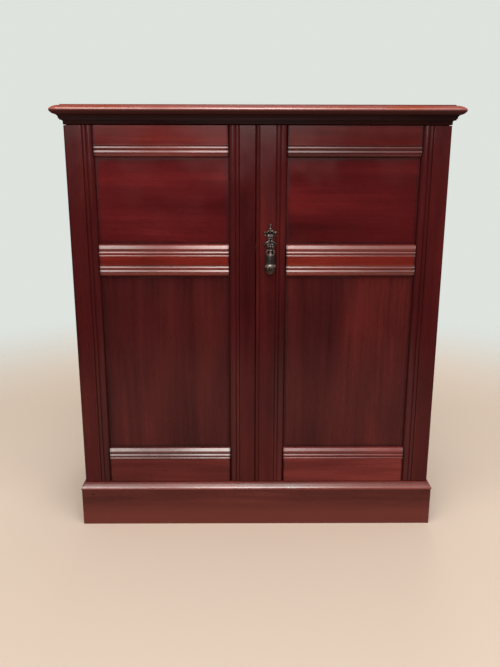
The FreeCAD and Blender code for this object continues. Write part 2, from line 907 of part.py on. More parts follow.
def rail_outline(foot, head, moulded_foot, moulded_head):
    """Section of a rail as (y, z), moulded and grooved on the edges that meet a panel."""
    if moulded_head:
        upper = swapped(grooved_edge(head, -1)[::-1])
        upper += [(y, z, bulge) for z, y, bulge in turned_back(moulded_edge(head, -1))]
    else:
        upper = [(door_back, head, 0), (door_face, head, 0)]
    if moulded_foot:
        lower = swapped(moulded_edge(foot, 1)) + swapped(grooved_edge(foot, 1))
    else:
        lower = [(door_face, foot, 0), (door_back, foot, 0)]
    return upper + lower


middle_head = d.middle_rail_foot + d.middle_rail_height
RAILS = (
    # name, foot, head, moulded at its foot, moulded at its head
    ("top_rail", door_head - d.top_rail_height, door_head, True, False),
    ("middle_rail", d.middle_rail_foot, middle_head, True, True),
    ("bottom_rail", door_foot, door_foot + d.bottom_rail_height, False, True),
)
PANELS = (
    ("upper_panel", middle_head, door_head - d.top_rail_height),
    ("lower_panel", door_foot + d.bottom_rail_height, d.middle_rail_foot),
)


def make_door(word, side, meeting_edge, outer_tools, meeting_tools, extra_tools):
    """Two stiles, three tenoned rails and two panels held in grooves."""
    outer = side * half_width
    outer_sight = outer - side * d.outer_stile_width
    meeting_sight = side * d.meeting_sight
    left_sight, right_sight = in_order((outer_sight, meeting_sight))
    tenons = []
    for name, foot, head, moulded_foot, moulded_head in RAILS:
        solid_name = f"{word}_{name}"
        section = rail_outline(foot, head, moulded_foot, moulded_head)
        run = prism(f"{solid_name}_run", "X", section, left_sight, right_sight)
        tenon_foot = foot + (d.groove_depth if moulded_foot else d.tenon_end_margin)
        tenon_head = head - (d.groove_depth if moulded_head else d.tenon_end_margin)
        tenon = block(
            f"{solid_name}_tenon",
            (left_sight - d.tenon_length, right_sight + d.tenon_length),
            (groove_front, groove_back),
            (tenon_foot, tenon_head),
        )
        tenons.append(tenon)
        keep(f"{word}_door_{name}", fuse(f"{solid_name}_solid", [run, tenon]))
    bite = d.groove_depth - d.panel_slack
    for name, foot, head in PANELS:
        panel = block(
            f"{word}_{name}_board",
            (left_sight - bite, right_sight + bite),
            (groove_front, groove_back),
            (foot - bite, head + bite),
        )
        keep(f"{word}_door_{name}", panel)
    outer_plan = stile_outline(outer, outer_sight, d.stile_arris, False)
    outer_blank = prism(f"{word}_outer_stile_run", "Z", outer_plan, door_foot, door_head)
    keep(f"{word}_door_outer_stile", cut(f"{word}_outer_stile_solid", outer_blank, tenons + outer_tools))
    meeting_plan = stile_outline(meeting_edge, meeting_sight, d.meeting_arris, side == RIGHT)
    meeting_blank = prism(f"{word}_meeting_stile_run", "Z", meeting_plan, door_foot, door_head)
    solid = cut(f"{word}_meeting_stile_solid", meeting_blank, tenons + meeting_tools + extra_tools)
    keep(f"{word}_door_meeting_stile", solid)


def make_closing_bead():
    near = right_meeting_edge
    far = near + d.closing_bead_width
    seat = door_face + d.closing_bead_seat
    shoulder = door_face + d.closing_bead_shoulder
    crest = d.closing_bead_shoulder + d.closing_bead_proud
    plan = [(near, seat, 0), (near, shoulder, crest), (far, shoulder, 0), (far, seat, 0)]
    keep("closing_bead", prism("closing_bead_solid", "Z", plan, door_foot, door_head))


# Bolts of the left door

bolt_x = left_meeting_edge - d.bolt_from_meeting
bolt_y = door_back + d.bolt_plate_thickness + d.bolt_guide_depth / 2


def make_bolt(word, way, door_end, case_face):
    """A barrel bolt on the door's back with its keeper let into the case. way is +1 for up."""
    plate_end = door_end - way * d.bolt_plate_end_setback
    plate_start = plate_end - way * d.bolt_plate_length
    plate_y = (door_back, door_back + d.bolt_plate_thickness)
    half_plate = d.bolt_plate_width / 2
    plate_x = (bolt_x - half_plate, bolt_x + half_plate)
    plate = block(f"{word}_bolt_backing", plate_x, plate_y, (plate_start, plate_end))
    half_guide = d.bolt_guide_width / 2
    guide_x = (bolt_x - half_guide, bolt_x + half_guide)
    guide_y = (door_back, plate_y[1] + d.bolt_guide_depth)
    near_tail = plate_end - way * d.bolt_guide_height
    outer_guide = block(f"{word}_bolt_guide_a", guide_x, guide_y, (plate_end, near_tail))
    tail = plate_start + way * d.bolt_guide_height
    inner_guide = block(f"{word}_bolt_guide_b", guide_x, guide_y, (tail, tail + way * d.bolt_guide_height))
    tip = door_end - way * d.bolt_end_setback
    low, high = in_order((tip, tip - way * d.bolt_length))
    bar = rod(f"{word}_bolt_bar", "Z", bolt_x, bolt_y, low, d.bolt_radius, high - low)
    knob_z = tip - way * (d.bolt_length - d.bolt_knob_rise)
    knob_length = d.bolt_guide_depth / 2 + d.bolt_knob_length
    knob = rod(f"{word}_bolt_knob", "Y", bolt_x, bolt_y, knob_z, d.bolt_knob_radius, knob_length)
    keep(f"{word}_bolt", fuse(f"{word}_bolt_solid", [bar, knob]))
    bore_foot = in_order((plate_start, plate_end))[0]
    bore_radius = d.bolt_radius + d.bolt_clearance
    bore = rod(f"{word}_bolt_bore", "Z", bolt_x, bolt_y, bore_foot, bore_radius, d.bolt_plate_length)
    screw_x = bolt_x + half_plate - d.small_head_radius
    spacing = way * (d.bolt_plate_length / 3)
    screws = []
    for number in (1, 2):
        screw_z = plate_start + spacing * number
        screws.append(small_screw(f"{word}_bolt_screw_{number}", LEFT, screw_x, plate_y[1], screw_z))
    guard = fuse(f"{word}_bolt_guard", [plate, outer_guide, inner_guide])
    keep(f"{word}_bolt_plate", cut(f"{word}_bolt_plate_solid", guard, [bore, *screws]))
    hole_radius = d.bolt_radius + d.keeper_clearance
    hole_depth = d.bolt_travel + d.keeper_end_room
    keeper_z = (case_face, case_face + way * d.keeper_thickness)
    half_length = d.keeper_length / 2
    half_keeper = d.keeper_width / 2
    x = (bolt_x - half_length, bolt_x + half_length)
    keeper_y = (bolt_y - half_keeper, bolt_y + half_keeper)
    seat = block(f"{word}_keeper_blank", x, keeper_y, keeper_z)
    hole_low = in_order((case_face, case_face + way * hole_depth))[0]
    hole = rod(f"{word}_keeper_hole", "Z", bolt_x, bolt_y, hole_low, hole_radius, hole_depth)
    keeper = cut(f"{word}_keeper_solid", seat, [hole])
    return SimpleNamespace(screws=screws, keeper=keeper, case_tools=[seat, hole])


# Lock of the right door

def keyhole(name, y_ends):
    """A round eye with a slot below it, through the front of the stile."""
    low, high = in_order(y_ends)
    eye = rod(f"{name}_eye", "Y", d.handle_line, low, keyhole_height, d.keyhole_radius, high - low)
    half = d.keyhole_slot_width / 2
    slot = block(
        f"{name}_slot",
        (d.handle_line - half, d.handle_line + half),
        (low, high),
        (keyhole_height - d.keyhole_slot_length, keyhole_height),
    )
    return fuse(name, [eye, slot])


def make_lock():
    front = door_back - d.lock_depth
    x = (right_meeting_edge, right_meeting_edge + d.lock_width)
    z = (keyhole_height - d.lock_height / 2, keyhole_height + d.lock_height / 2)
    shell = block("lock_shell", x, (front, door_back), z)
    middle = front + d.lock_depth / 2
    half_room = d.lock_bolt_thickness / 2 + d.lock_bolt_clearance
    room_y = (middle - half_room, middle + half_room)
    room_x = (x[0] + d.lock_wall, x[1] - d.lock_wall)
    room = block("lock_room", room_x, room_y, (z[0] + d.lock_wall, z[1] - d.lock_wall))
    bolt_foot = keyhole_height + d.lock_bolt_rise - d.lock_bolt_height / 2
    bolt_head = bolt_foot + d.lock_bolt_height
    slot_z = (bolt_foot - d.lock_bolt_clearance, bolt_head + d.lock_bolt_clearance)
    slot = block("lock_slot", (x[0], x[0] + d.lock_wall), room_y, slot_z)
    hole = keyhole("lock_keyhole", (door_face, middle))
    keep("lock_case", cut("lock_case_solid", shell, [room, slot, hole]))
    tip = right_meeting_edge + d.lock_bolt_setback
    half_bolt = d.lock_bolt_thickness / 2
    bolt_x_ends = (tip, tip + d.lock_bolt_length)
    bolt_y_ends = (middle - half_bolt, middle + half_bolt)
    keep("lock_bolt", block("lock_bolt_bar", bolt_x_ends, bolt_y_ends, (bolt_foot, bolt_head)))
    strike_x = (left_meeting_edge - d.strike_thickness, left_meeting_edge)
    half_strike = d.strike_width / 2
    strike_y = (middle - half_strike, middle + half_strike)
    strike_middle = (bolt_foot + bolt_head) / 2
    strike_z = (strike_middle - d.strike_height / 2, strike_middle + d.strike_height / 2)
    strike = block("strike_blank", strike_x, strike_y, strike_z)
    pocket = block(
        "strike_pocket",
        (left_meeting_edge - d.lock_bolt_travel - d.strike_end_room, left_meeting_edge),
        (middle - half_bolt - d.strike_clearance, middle + half_bolt + d.strike_clearance),
        (bolt_foot - d.strike_clearance, bolt_head + d.strike_clearance),
    )
    keep("lock_strike_plate", cut("strike_solid", strike, [pocket]))
    return SimpleNamespace(right=[shell, hole], left=[strike, pocket])


# Drop handle

handle_y = door_face - d.handle_plate_thickness
pivot_y = door_face - d.handle_pivot_proud


def handle_plate_points():
    """Outline of the back plate as (z, x), down the right side and up the left."""
    right = []
    for width_share, height_share, bulge_share in HANDLE_PLATE_UPPER_SHARES:
        z = d.handle_pivot_height + d.handle_plate_rise * height_share
        right.append((z, d.handle_half_width * width_share, d.handle_half_width * bulge_share))
    for width_share, height_share, bulge_share in HANDLE_PLATE_LOWER_SHARES:
        z = d.handle_pivot_height - d.handle_plate_fall * height_share
        right.append((z, d.handle_half_width * width_share, d.handle_half_width * bulge_share))
    left = [(z, -across, bulge) for z, across, bulge in turned_back(right)]
    return [(z, d.handle_line + across, bulge) for z, across, bulge in right + left]


def make_handle():
    plate = prism("handle_plate_run", "Y", handle_plate_points(), handle_y, door_face)
    post_front = pivot_y - d.handle_post_end
    post_back = door_face + d.handle_post_root
    post = rod(
        "handle_post_bar", "Y", d.handle_line, post_front, d.handle_pivot_height,
        d.handle_post_radius, post_back - post_front,
    )
    pin = rod(
        "handle_pin_bar", "X", d.handle_line - d.handle_pin_half, pivot_y, d.handle_pivot_height,
        d.handle_pin_radius, d.handle_pin_half * 2,
    )
    eye = keyhole("plate_keyhole", (handle_y, door_face))
    keep("handle_backplate", cut("handle_plate_solid", plate, [eye, post]))
    keep("handle_post", cut("handle_post_solid", post, [pin]))
    keep("handle_pin", pin)
    keep("handle_drop", make_drop())
    return [post]


def make_drop():
    """Two ears on the pin, a yoke that joins them and the flattened pear below."""
    solids = []
    yoke_top = d.handle_pivot_height - d.handle_yoke_drop
    yoke_foot = yoke_top - d.handle_yoke_height
    yoke_y = (pivot_y - d.handle_yoke_half_depth, pivot_y + d.handle_yoke_half_depth)
    thickness = d.handle_ear_outer - d.handle_ear_inner
    for side, word in ((LEFT, "left"), (RIGHT, "right")):
        inner, outer = in_order((side * d.handle_ear_inner, side * d.handle_ear_outer))
        x = d.handle_line + inner
        solids.append(
            rod(f"drop_ear_{word}", "X", x, pivot_y, d.handle_pivot_height, d.handle_ear_radius, thickness)
        )
        cheek_z = (yoke_foot, d.handle_pivot_height)
        solids.append(block(f"drop_cheek_{word}", (x, d.handle_line + outer), yoke_y, cheek_z))
    x = (d.handle_line - d.handle_ear_outer, d.handle_line + d.handle_ear_outer)
    solids.append(block("drop_yoke", x, yoke_y, (yoke_foot, yoke_top)))
    sections = []
    for number, (height_share, width_share, depth_share) in enumerate(DROP_STATION_SHARES):
        ring = doc.addObject("Part::Ellipse", f"drop_station_{number}")
        bind(ring, "MajorRadius", d.drop_half_width * width_share)
        bind(ring, "MinorRadius", d.drop_half_depth * depth_share)
        z = d.handle_pivot_height - d.drop_length * height_share
        sections.append(place(ring, "Z", d.handle_line, pivot_y, z))
    pear = doc.addObject("Part::Loft", "drop_pear")
    pear.Sections = sections
    pear.Solid = True
    solids.append(pear)
    bore = rod(
        "drop_bore", "X", d.handle_line - d.handle_ear_outer, pivot_y, d.handle_pivot_height,
        d.handle_pin_radius + d.pin_clearance, d.handle_ear_outer * 2,
    )
    return cut("drop_solid", fuse("drop_joined", solids), [bore])


def check_and_write():
    doc.recompute()
    failed = [item.Name for item in doc.Objects if {"Invalid", "Error"} & set(item.State)]
    if failed:
        raise RuntimeError(f"these did not build: {failed}")
    for piece in pieces:
        if piece.Shape.isNull() or not piece.Shape.isValid() or not piece.Shape.Solids:
            raise RuntimeError(f"{piece.Label} has no sound solid")
    os.makedirs(PARTS_FOLDER, exist_ok=True)
    for piece in pieces:
        piece.Shape.exportStep(os.path.join(PARTS_FOLDER, f"{piece.Label}.step"))
    print(f"{len(pieces)} pieces written")


hinge_tools = make_hinges()
upper = make_bolt("upper", 1, door_head, rail_foot)
lower = make_bolt("lower", -1, door_foot, floor_level)
lock_tools = make_lock()
handle_tools = make_handle()
make_case(hinge_tools, {"upper": upper.case_tools, "lower": lower.case_tools})
make_cornice()
make_base_moulding()
make_plinth()
make_back()
bolt_screws = upper.screws + lower.screws
keep("bolt_keepers", group("all_bolt_keepers", [upper.keeper, lower.keeper]))
make_door("left", LEFT, left_meeting_edge, hinge_tools["left"].door, bolt_screws, lock_tools.left)
make_door("right", RIGHT, right_meeting_edge, hinge_tools["right"].door, lock_tools.right, handle_tools)
make_closing_bead()
keep("left_door_screws", group("all_left_door_screws", hinge_tools["left"].screws + bolt_screws))
keep("right_door_screws", group("all_right_door_screws", hinge_tools["right"].screws))
check_and_write()
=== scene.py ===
import itertools
import json
import math

import bmesh
import bpy
from mathutils import Euler, Matrix, Vector


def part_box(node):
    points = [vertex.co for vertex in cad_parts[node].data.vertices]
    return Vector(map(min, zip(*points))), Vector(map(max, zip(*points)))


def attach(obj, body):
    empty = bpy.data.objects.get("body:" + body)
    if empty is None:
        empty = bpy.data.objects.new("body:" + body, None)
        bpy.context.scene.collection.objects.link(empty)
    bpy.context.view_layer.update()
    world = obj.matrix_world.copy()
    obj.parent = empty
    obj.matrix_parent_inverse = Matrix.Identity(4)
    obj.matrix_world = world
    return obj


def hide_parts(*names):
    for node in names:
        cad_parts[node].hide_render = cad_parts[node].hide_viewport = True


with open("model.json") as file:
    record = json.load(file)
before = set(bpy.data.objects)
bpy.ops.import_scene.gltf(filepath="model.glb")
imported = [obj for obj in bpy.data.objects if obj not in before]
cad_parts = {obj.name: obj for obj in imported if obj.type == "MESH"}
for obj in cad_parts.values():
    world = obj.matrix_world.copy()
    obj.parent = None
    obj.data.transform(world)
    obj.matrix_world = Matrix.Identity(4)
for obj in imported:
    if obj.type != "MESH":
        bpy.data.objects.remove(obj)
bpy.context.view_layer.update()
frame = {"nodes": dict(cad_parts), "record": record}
nodes = frame["nodes"]

# Lengths are metres, in the row frame: the doors face -Y and Z is up.

SIDES = (-1, 1)
DOORS = ("left_door", "right_door")
SQUARE = ((-1, -1), (1, -1), (1, 1), (-1, 1))


# Small helpers

# The screen colour curve of the sRGB standard
SCREEN_TOP = 255
STRAIGHT_BELOW = 0.04045
STRAIGHT_SLOPE = 12.92
CURVE_OFFSET = 0.055
CURVE_POWER = 2.4


def linear(red, green, blue):
    """Scene colour of a screen colour given as 0 to 255."""
    values = []
    for part in (red, green, blue):
        share = part / SCREEN_TOP
        if share <= STRAIGHT_BELOW:
            values.append(share / STRAIGHT_SLOPE)
        else:
            values.append(((share + CURVE_OFFSET) / (1 + CURVE_OFFSET)) ** CURVE_POWER)
    return (*values, 1.0)


def grey(level):
    return (level, level, level, 1.0)


def scaled(colour, factor):
    """The same colour, lighter or darker."""
    return (*(min(part * factor, 1.0) for part in colour[:3]), 1.0)


SEED_STEPS = (1.7, 2.3, 0.9)


class Graph:
    """A node tree with short calls that add a node and give back its output."""

    def __init__(self, tree):
        self.tree = tree

    def add(self, kind, inputs=None, **settings):
        node = self.tree.nodes.new(kind)
        for key, value in settings.items():
            setattr(node, key, value)
        for socket, value in (inputs or {}).items():
            if isinstance(value, bpy.types.NodeSocket):
                self.tree.links.new(value, node.inputs[socket])
            else:
                node.inputs[socket].default_value = value
        return node

    def maths(self, operation, first, second=0.0):
        return self.add("ShaderNodeMath", {0: first, 1: second}, operation=operation).outputs[0]

    def product(self, first, *others):
        for other in others:
            first = self.maths("MULTIPLY", first, other)
        return first

    def total(self, *shares):
        """Sum of (value, weight) pairs."""
        result = None
        for value, weight in shares:
            part = self.product(value, weight)
            result = part if result is None else self.maths("ADD", result, part)
        return result

    def step(self, value, low, high, start=0.0, end=1.0):
        """Goes smoothly from start to end as value goes from low to high."""
        inputs = {"Value": value, "From Min": low, "From Max": high, "To Min": start, "To Max": end}
        node = self.add("ShaderNodeMapRange", inputs, interpolation_type="SMOOTHSTEP")
        return node.outputs[0]

    def step_straight(self, value, low, high, start=0.0, end=1.0):
        """Goes from start to end in a straight line as value goes from low to high."""
        inputs = {"Value": value, "From Min": low, "From Max": high, "To Min": start, "To Max": end}
        return self.add("ShaderNodeMapRange", inputs).outputs[0]

    def noise(self, place, scale, detail=2.0, roughness=0.5):
        inputs = {"Vector": place, "Scale": scale, "Detail": detail, "Roughness": roughness}
        return self.add("ShaderNodeTexNoise", inputs).outputs[0]

    def mix(self, factor, first, second, mode="MIX"):
        inputs = {0: factor, 6: first, 7: second}
        return self.add("ShaderNodeMix", inputs, data_type="RGBA", blend_type=mode).outputs[2]

    def ramp(self, value, stops):
        """Colours read along a scale of (position, colour) stops."""
        node = self.add("ShaderNodeValToRGB", {0: value})
        elements = node.color_ramp.elements
        while len(elements) < len(stops):
            elements.new(1.0)
        for element, (position, colour) in zip(elements, stops):
            element.position = position
            element.color = colour
        return node.outputs[0]

    def stretched(self, place, grain, along, seed=0.0):
        """Coordinates squeezed along the grain, so that a texture runs with it."""
        scale = [1.0, 1.0, 1.0]
        scale["XYZ".index(grain)] = along
        shift = tuple(seed * step for step in SEED_STEPS)
        return self.add("ShaderNodeMapping", {0: place, 1: shift, 3: scale}).outputs[0]

    def layer(self, place, grain, seed, recipe):
        """Noise along the grain; the recipe gives its stretch, scale, detail and roughness."""
        along, *texture = recipe
        return self.noise(self.stretched(place, grain, along, seed), *texture)

    def axes(self, place):
        return self.add("ShaderNodeSeparateXYZ", {0: place}).outputs

    def bump(self, height, distance):
        return self.add("ShaderNodeBump", {"Height": height, "Distance": distance}).outputs[0]


def new_material(name):
    """An empty material, its graph and its surface shader."""
    material = bpy.data.materials.new(name)
    material.use_nodes = True
    graph = Graph(material.node_tree)
    shader = material.node_tree.nodes["Principled BSDF"]
    place = graph.add("ShaderNodeTexCoord").outputs["Object"]
    return material, graph, shader, place


def feed(graph, shader, values):
    """Links or sets the shader's sockets by name."""
    for socket, value in values.items():
        if isinstance(value, bpy.types.NodeSocket):
            graph.tree.links.new(value, shader.inputs[socket])
        else:
            shader.inputs[socket].default_value = value


def dress(piece, material):
    """Puts one material in every slot of a piece."""
    if not piece.material_slots:
        piece.data.materials.append(material)
    for slot in piece.material_slots:
        slot.material = material


# Mahogany

# Near-black painted into recesses: painted shade, with some dirt
SHADE_AND_GRIME_BLACK = linear(14, 6, 6)
FLAT_POLISH = 0.16
STILE_POLISH = 0.26
MOULD_POLISH = 0.75
DULL_POLISH = 0.02
MOULD_WIDTH = 0.0241
MOULD_EDGE_SOFT = 0.001
# Painted shade, with some dirt, across the quirks of a mould
SHADE_AND_GRIME_SPAN = 0.025
SHADE_AND_GRIME_STOPS = (
    # distance from the edge of the span, level
    (0.0000, 0.6), (0.0006, 0.3), (0.0018, 0.0), (0.0135, 0.0), (0.0140, 0.6), (0.0144, 0.6), (0.0149, 0.0),
    (0.0212, 0.0), (0.0217, 0.6), (0.0221, 0.6), (0.0226, 0.0), (0.0250, 0.0),
)

# Steps are given as value low and high, then the result at each
PANEL_EDGE_WAVE = (30.0, 0.006)
PANEL_EDGE_STEP = (-0.004, 0.006, 0.70, 0.0)
WOOD_ROUGHNESS_STEP = (0.2, 0.8, 0.36, 0.52)
SMUDGE_TEXTURE = (14.0, 4.0, 0.6)
SMUDGE_STEP = (0.35, 0.75, 0.10, 0.22)

# Layers of the wood: stretch along the grain, scale, detail and roughness
WOOD_WANDER = (0.35, 6.0, 2.0, 0.5)
WOOD_CLOUD = (0.30, 9.0, 2.0, 0.55)
WOOD_STREAK = (0.035, 75.0, 5.0, 0.62)
WOOD_FIBRE = (0.022, 520.0, 3.0, 0.6)
WOOD_RIBBON = (0.06, 22.0, 2.0, 0.5)
WOOD_PORE = (0.045, 1500.0, 1.0, 0.5)
RIBBON_SEED = 3
PORE_SEED = 5
NOISE_MIDDLE = 0.5
WANDER_REACH = 0.03
STREAK_WEIGHT = 0.42
CLOUD_WEIGHT = 0.55
FIBRE_WEIGHT = 0.16
RIBBON_WEIGHT = 0.34
TONE_SPREAD = 0.26
# Place on the scale of tones, share of the body colour
BODY_STOPS = ((0.0, 0.42), (0.32, 0.78), (0.60, 1.0))
PORE_STEP = (0.60, 0.72)
PORE_COVER = 0.55
PORE_TONE = 0.22
SHADE_AND_GRIME_COVER = 0.85
SHADE_AND_GRIME_DULLING = 0.30
PORE_HOLLOW = -0.6
FIBRE_RISE = 0.5
GRAIN_RELIEF = 0.000008
PEEL_SCALE = 260.0
PEEL_RELIEF = 0.000005
POLISH_IOR = 1.70


def distance_inside(graph, value, low, high):
    """How far value is inside the span from low to high."""
    middle = (low + high) / 2
    off_middle = graph.maths("ABSOLUTE", graph.maths("SUBTRACT", value, middle))
    return graph.maths("SUBTRACT", (high - low) / 2, off_middle)


def mould_shade_and_grime(graph, place, axis, low, high):
    """Painted shade, with old polish and dirt, in the quirks of the mould that starts at each edge of a
    span.
    """
    value = graph.axes(place)["XYZ".index(axis)]
    inside = distance_inside(graph, value, low, high)
    share = graph.maths("DIVIDE", inside, SHADE_AND_GRIME_SPAN)
    return graph.ramp(share, [(at / SHADE_AND_GRIME_SPAN, grey(level)) for at, level in SHADE_AND_GRIME_STOPS])


def wavering(graph, place, distance, scale, reach):
    """A distance made uneven, so that painted shade that follows it has no ruled edge."""
    return graph.maths("ADD", distance, graph.product(graph.noise(place, scale), -reach))


def panel_painted_shade(graph, place, x_span, z_span):
    """Painted shade where a panel meets its frame."""
    axes = graph.axes(place)
    near_x = distance_inside(graph, axes[0], *x_span)
    near_z = distance_inside(graph, axes[2], *z_span)
    near = graph.maths("MINIMUM", near_x, near_z)
    return graph.step(wavering(graph, place, near, *PANEL_EDGE_WAVE), *PANEL_EDGE_STEP)


def mahogany(name, grain, body, glow, seed, streaks=1.0, recess=None, wear_and_painted_light=None, polish=FLAT_POLISH):
    """French-polished mahogany: streaked, finely porous, glossy, with painted shade and dirt in its
    recesses.
    """
    material, graph, shader, place = new_material(name)
    wander = graph.layer(place, grain, seed, WOOD_WANDER)
    shift = graph.product(graph.maths("SUBTRACT", wander, NOISE_MIDDLE), WANDER_REACH)
    moved = graph.add("ShaderNodeVectorMath", {0: place, 1: shift}).outputs[0]
    cloud = graph.layer(moved, grain, seed, WOOD_CLOUD)
    streak = graph.layer(moved, grain, seed, WOOD_STREAK)
    fibre = graph.layer(moved, grain, seed, WOOD_FIBRE)
    ribbon = graph.layer(moved, grain, seed + RIBBON_SEED, WOOD_RIBBON)
    weights = (STREAK_WEIGHT * streaks, CLOUD_WEIGHT, FIBRE_WEIGHT, RIBBON_WEIGHT * streaks)
    tone = graph.total(*zip((streak, cloud, fibre, ribbon), weights))
    middle = sum(weights) / 2
    colour = graph.ramp(
        graph.step(tone, middle - TONE_SPREAD, middle + TONE_SPREAD),
        [(at, scaled(body, share)) for at, share in BODY_STOPS] + [(1.0, glow)],
    )
    pore = graph.step(graph.layer(moved, grain, seed + PORE_SEED, WOOD_PORE), *PORE_STEP)
    colour = graph.mix(graph.product(pore, PORE_COVER), colour, scaled(body, PORE_TONE))
    # This hook paints worn marks, and also a sheen on the top's edge and floor light on the plinth's foot
    if wear_and_painted_light is not None:
        colour = wear_and_painted_light(graph, place, colour)
    gloss = graph.step(graph.noise(place, *SMUDGE_TEXTURE), *SMUDGE_STEP)
    # The recess mask paints shade, with some dirt, in near-black over the wood
    if recess is not None:
        shade_and_grime = graph.product(recess(graph, place), SHADE_AND_GRIME_COVER)
        colour = graph.mix(shade_and_grime, colour, SHADE_AND_GRIME_BLACK)
        gloss = graph.maths("ADD", gloss, graph.product(shade_and_grime, SHADE_AND_GRIME_DULLING))
    open_grain = graph.total((pore, PORE_HOLLOW), (fibre, FIBRE_RISE))
    feed(graph, shader, {
        "Base Color": colour,
        "Roughness": graph.step(streak, *WOOD_ROUGHNESS_STEP),
        "Specular IOR Level": 0.0,
        "Coat Weight": polish(graph, place) if callable(polish) else polish,
        "Coat IOR": POLISH_IOR,
        "Coat Roughness": gloss,
        "Normal": graph.bump(open_grain, GRAIN_RELIEF),
        "Coat Normal": graph.bump(graph.noise(place, PEEL_SCALE), PEEL_RELIEF),
    })
    return material


STILE = linear(72, 21, 21)
STILE_GLOW = linear(92, 31, 27)
UPPER_PANEL = linear(86, 22, 24)
UPPER_PANEL_GLOW = linear(108, 31, 29)
LOWER_PANEL = linear(74, 26, 25)
LOWER_PANEL_GLOW = linear(98, 34, 30)
TOP_RAIL = linear(98, 27, 25)
TOP_RAIL_GLOW = linear(122, 41, 33)
MIDDLE_RAIL = linear(118, 36, 28)
MIDDLE_RAIL_GLOW = linear(138, 52, 34)
BOTTOM_RAIL = linear(90, 33, 30)
BOTTOM_RAIL_GLOW = linear(112, 46, 38)
PLINTH = linear(86, 38, 33)
PLINTH_GLOW = linear(106, 50, 42)
# A paler copy of the plinth colour: painted light from the floor on its foot
PLINTH_FOOT_LIT = linear(108, 52, 44)
BASE = linear(116, 42, 36)
BASE_GLOW = linear(134, 54, 44)
TOP = linear(112, 38, 31)
TOP_GLOW = linear(136, 52, 40)
# Frieze and cornice darkened as painted shade under the top's overhang
FRIEZE_SHADED = linear(38, 14, 12)
FRIEZE_SHADED_GLOW = linear(50, 20, 16)
CORNICE_SHADED = linear(47, 26, 25)
CORNICE_SHADED_GLOW = linear(60, 33, 30)
CASE_SIDE = linear(88, 28, 26)
CASE_SIDE_GLOW = linear(112, 42, 34)

OUTER_SIGHT = 0.3256
MEETING_SIGHT = 0.0592
FAR = 1.0
RAIL_SPANS = {"top_rail": (0.8049, FAR), "middle_rail": (0.5655, 0.6322), "bottom_rail": (-FAR, 0.1807)}
PANEL_SPANS = {"upper_panel": (0.6322, 0.8049), "lower_panel": (0.1807, 0.5655)}
RAIL_TONES = {
    "top_rail": (TOP_RAIL, TOP_RAIL_GLOW),
    "middle_rail": (MIDDLE_RAIL, MIDDLE_RAIL_GLOW),
    "bottom_rail": (BOTTOM_RAIL, BOTTOM_RAIL_GLOW),
}
PANEL_TONES = {
    # grain, colours, strength of the streaks
    "upper_panel": ("X", UPPER_PANEL, UPPER_PANEL_GLOW, 0.7),
    "lower_panel": ("Z", LOWER_PANEL, LOWER_PANEL_GLOW, 0.8),
}
STILE_STREAKS = 0.6
# Share of the quirks' painted shade and dirt that the stiles get
STILE_SHADE_AND_DIRT = 0.60

# Boards that are darker or lighter than their twin on the other door
TONE_SHARES = {
    ("right_door", "top_rail"): 0.64,
    ("right_door", "upper_panel"): 0.88,
    ("right_door", "bottom_rail"): 1.85,
    ("right_door", "middle_rail"): 0.88,
}
MOULD_POLISH_SHARES = {
    ("left_door", "bottom_rail"): 1.20,
    ("right_door", "bottom_rail"): 0.60,
    ("right_door", "top_rail"): 0.65,
}
RAIL_END_WAVE = (45.0, 0.003)
RAIL_END_STEP = (-0.0008, 0.0026, 0.92, 0.0)
RAIL_BACK_STEP = (-0.171, -0.169)
BACK_SHADE = (0.40, 0.32, 0.46, 1.0)


def line_recess(axis, low, high):
    """Painted shade and dirt, thinner than on the rails, in the quirks of an upright mould."""
    return lambda graph, place: graph.product(mould_shade_and_grime(graph, place, axis, low, high), STILE_SHADE_AND_DIRT)


def line_polish(axis, low, high, on_mould):
    """Polish built up on the mould and worn thin on the flat beside it."""
    def weight(graph, place):
        value = graph.axes(place)["XYZ".index(axis)]
        inside = distance_inside(graph, value, low, high)
        return graph.step(inside, MOULD_WIDTH, MOULD_WIDTH + MOULD_EDGE_SOFT, on_mould, FLAT_POLISH)
    return weight


def box_recess(x_span, z_span):
    return lambda graph, place: panel_painted_shade(graph, place, x_span, z_span)


def rail_recess(z_span, x_span):
    """Painted shade and dirt in the rail's quirks, and painted shade where its ends butt the stiles."""
    def level(graph, place):
        quirks = mould_shade_and_grime(graph, place, "Z", *z_span)
        inside = distance_inside(graph, graph.axes(place)[0], *x_span)
        # Painted shade where the rail's ends butt the stiles
        shaded_end = graph.step(wavering(graph, place, inside, *RAIL_END_WAVE), *RAIL_END_STEP)
        return graph.maths("MAXIMUM", quirks, shaded_end)
    return level


def back_tone(graph, place, colour):
    """The rail's back face, which had less light and less polish, is as dark as the stiles."""
    share = graph.step(graph.axes(place)[1], *RAIL_BACK_STEP)
    return graph.mix(share, colour, graph.mix(1.0, colour, BACK_SHADE, "MULTIPLY"))


def door_board(door, part, grain, tones, seed, *treatment):
    """Dresses one board of a door; the treatment is streaks, painted shade with dirt, worn marks and polish.
    """
    body, glow = (scaled(tone, TONE_SHARES.get((door, part), 1.0)) for tone in tones)
    name = f"{door}_{part}"
    dress(nodes[name], mahogany(name + "_wood", grain, body, glow, seed, *treatment))


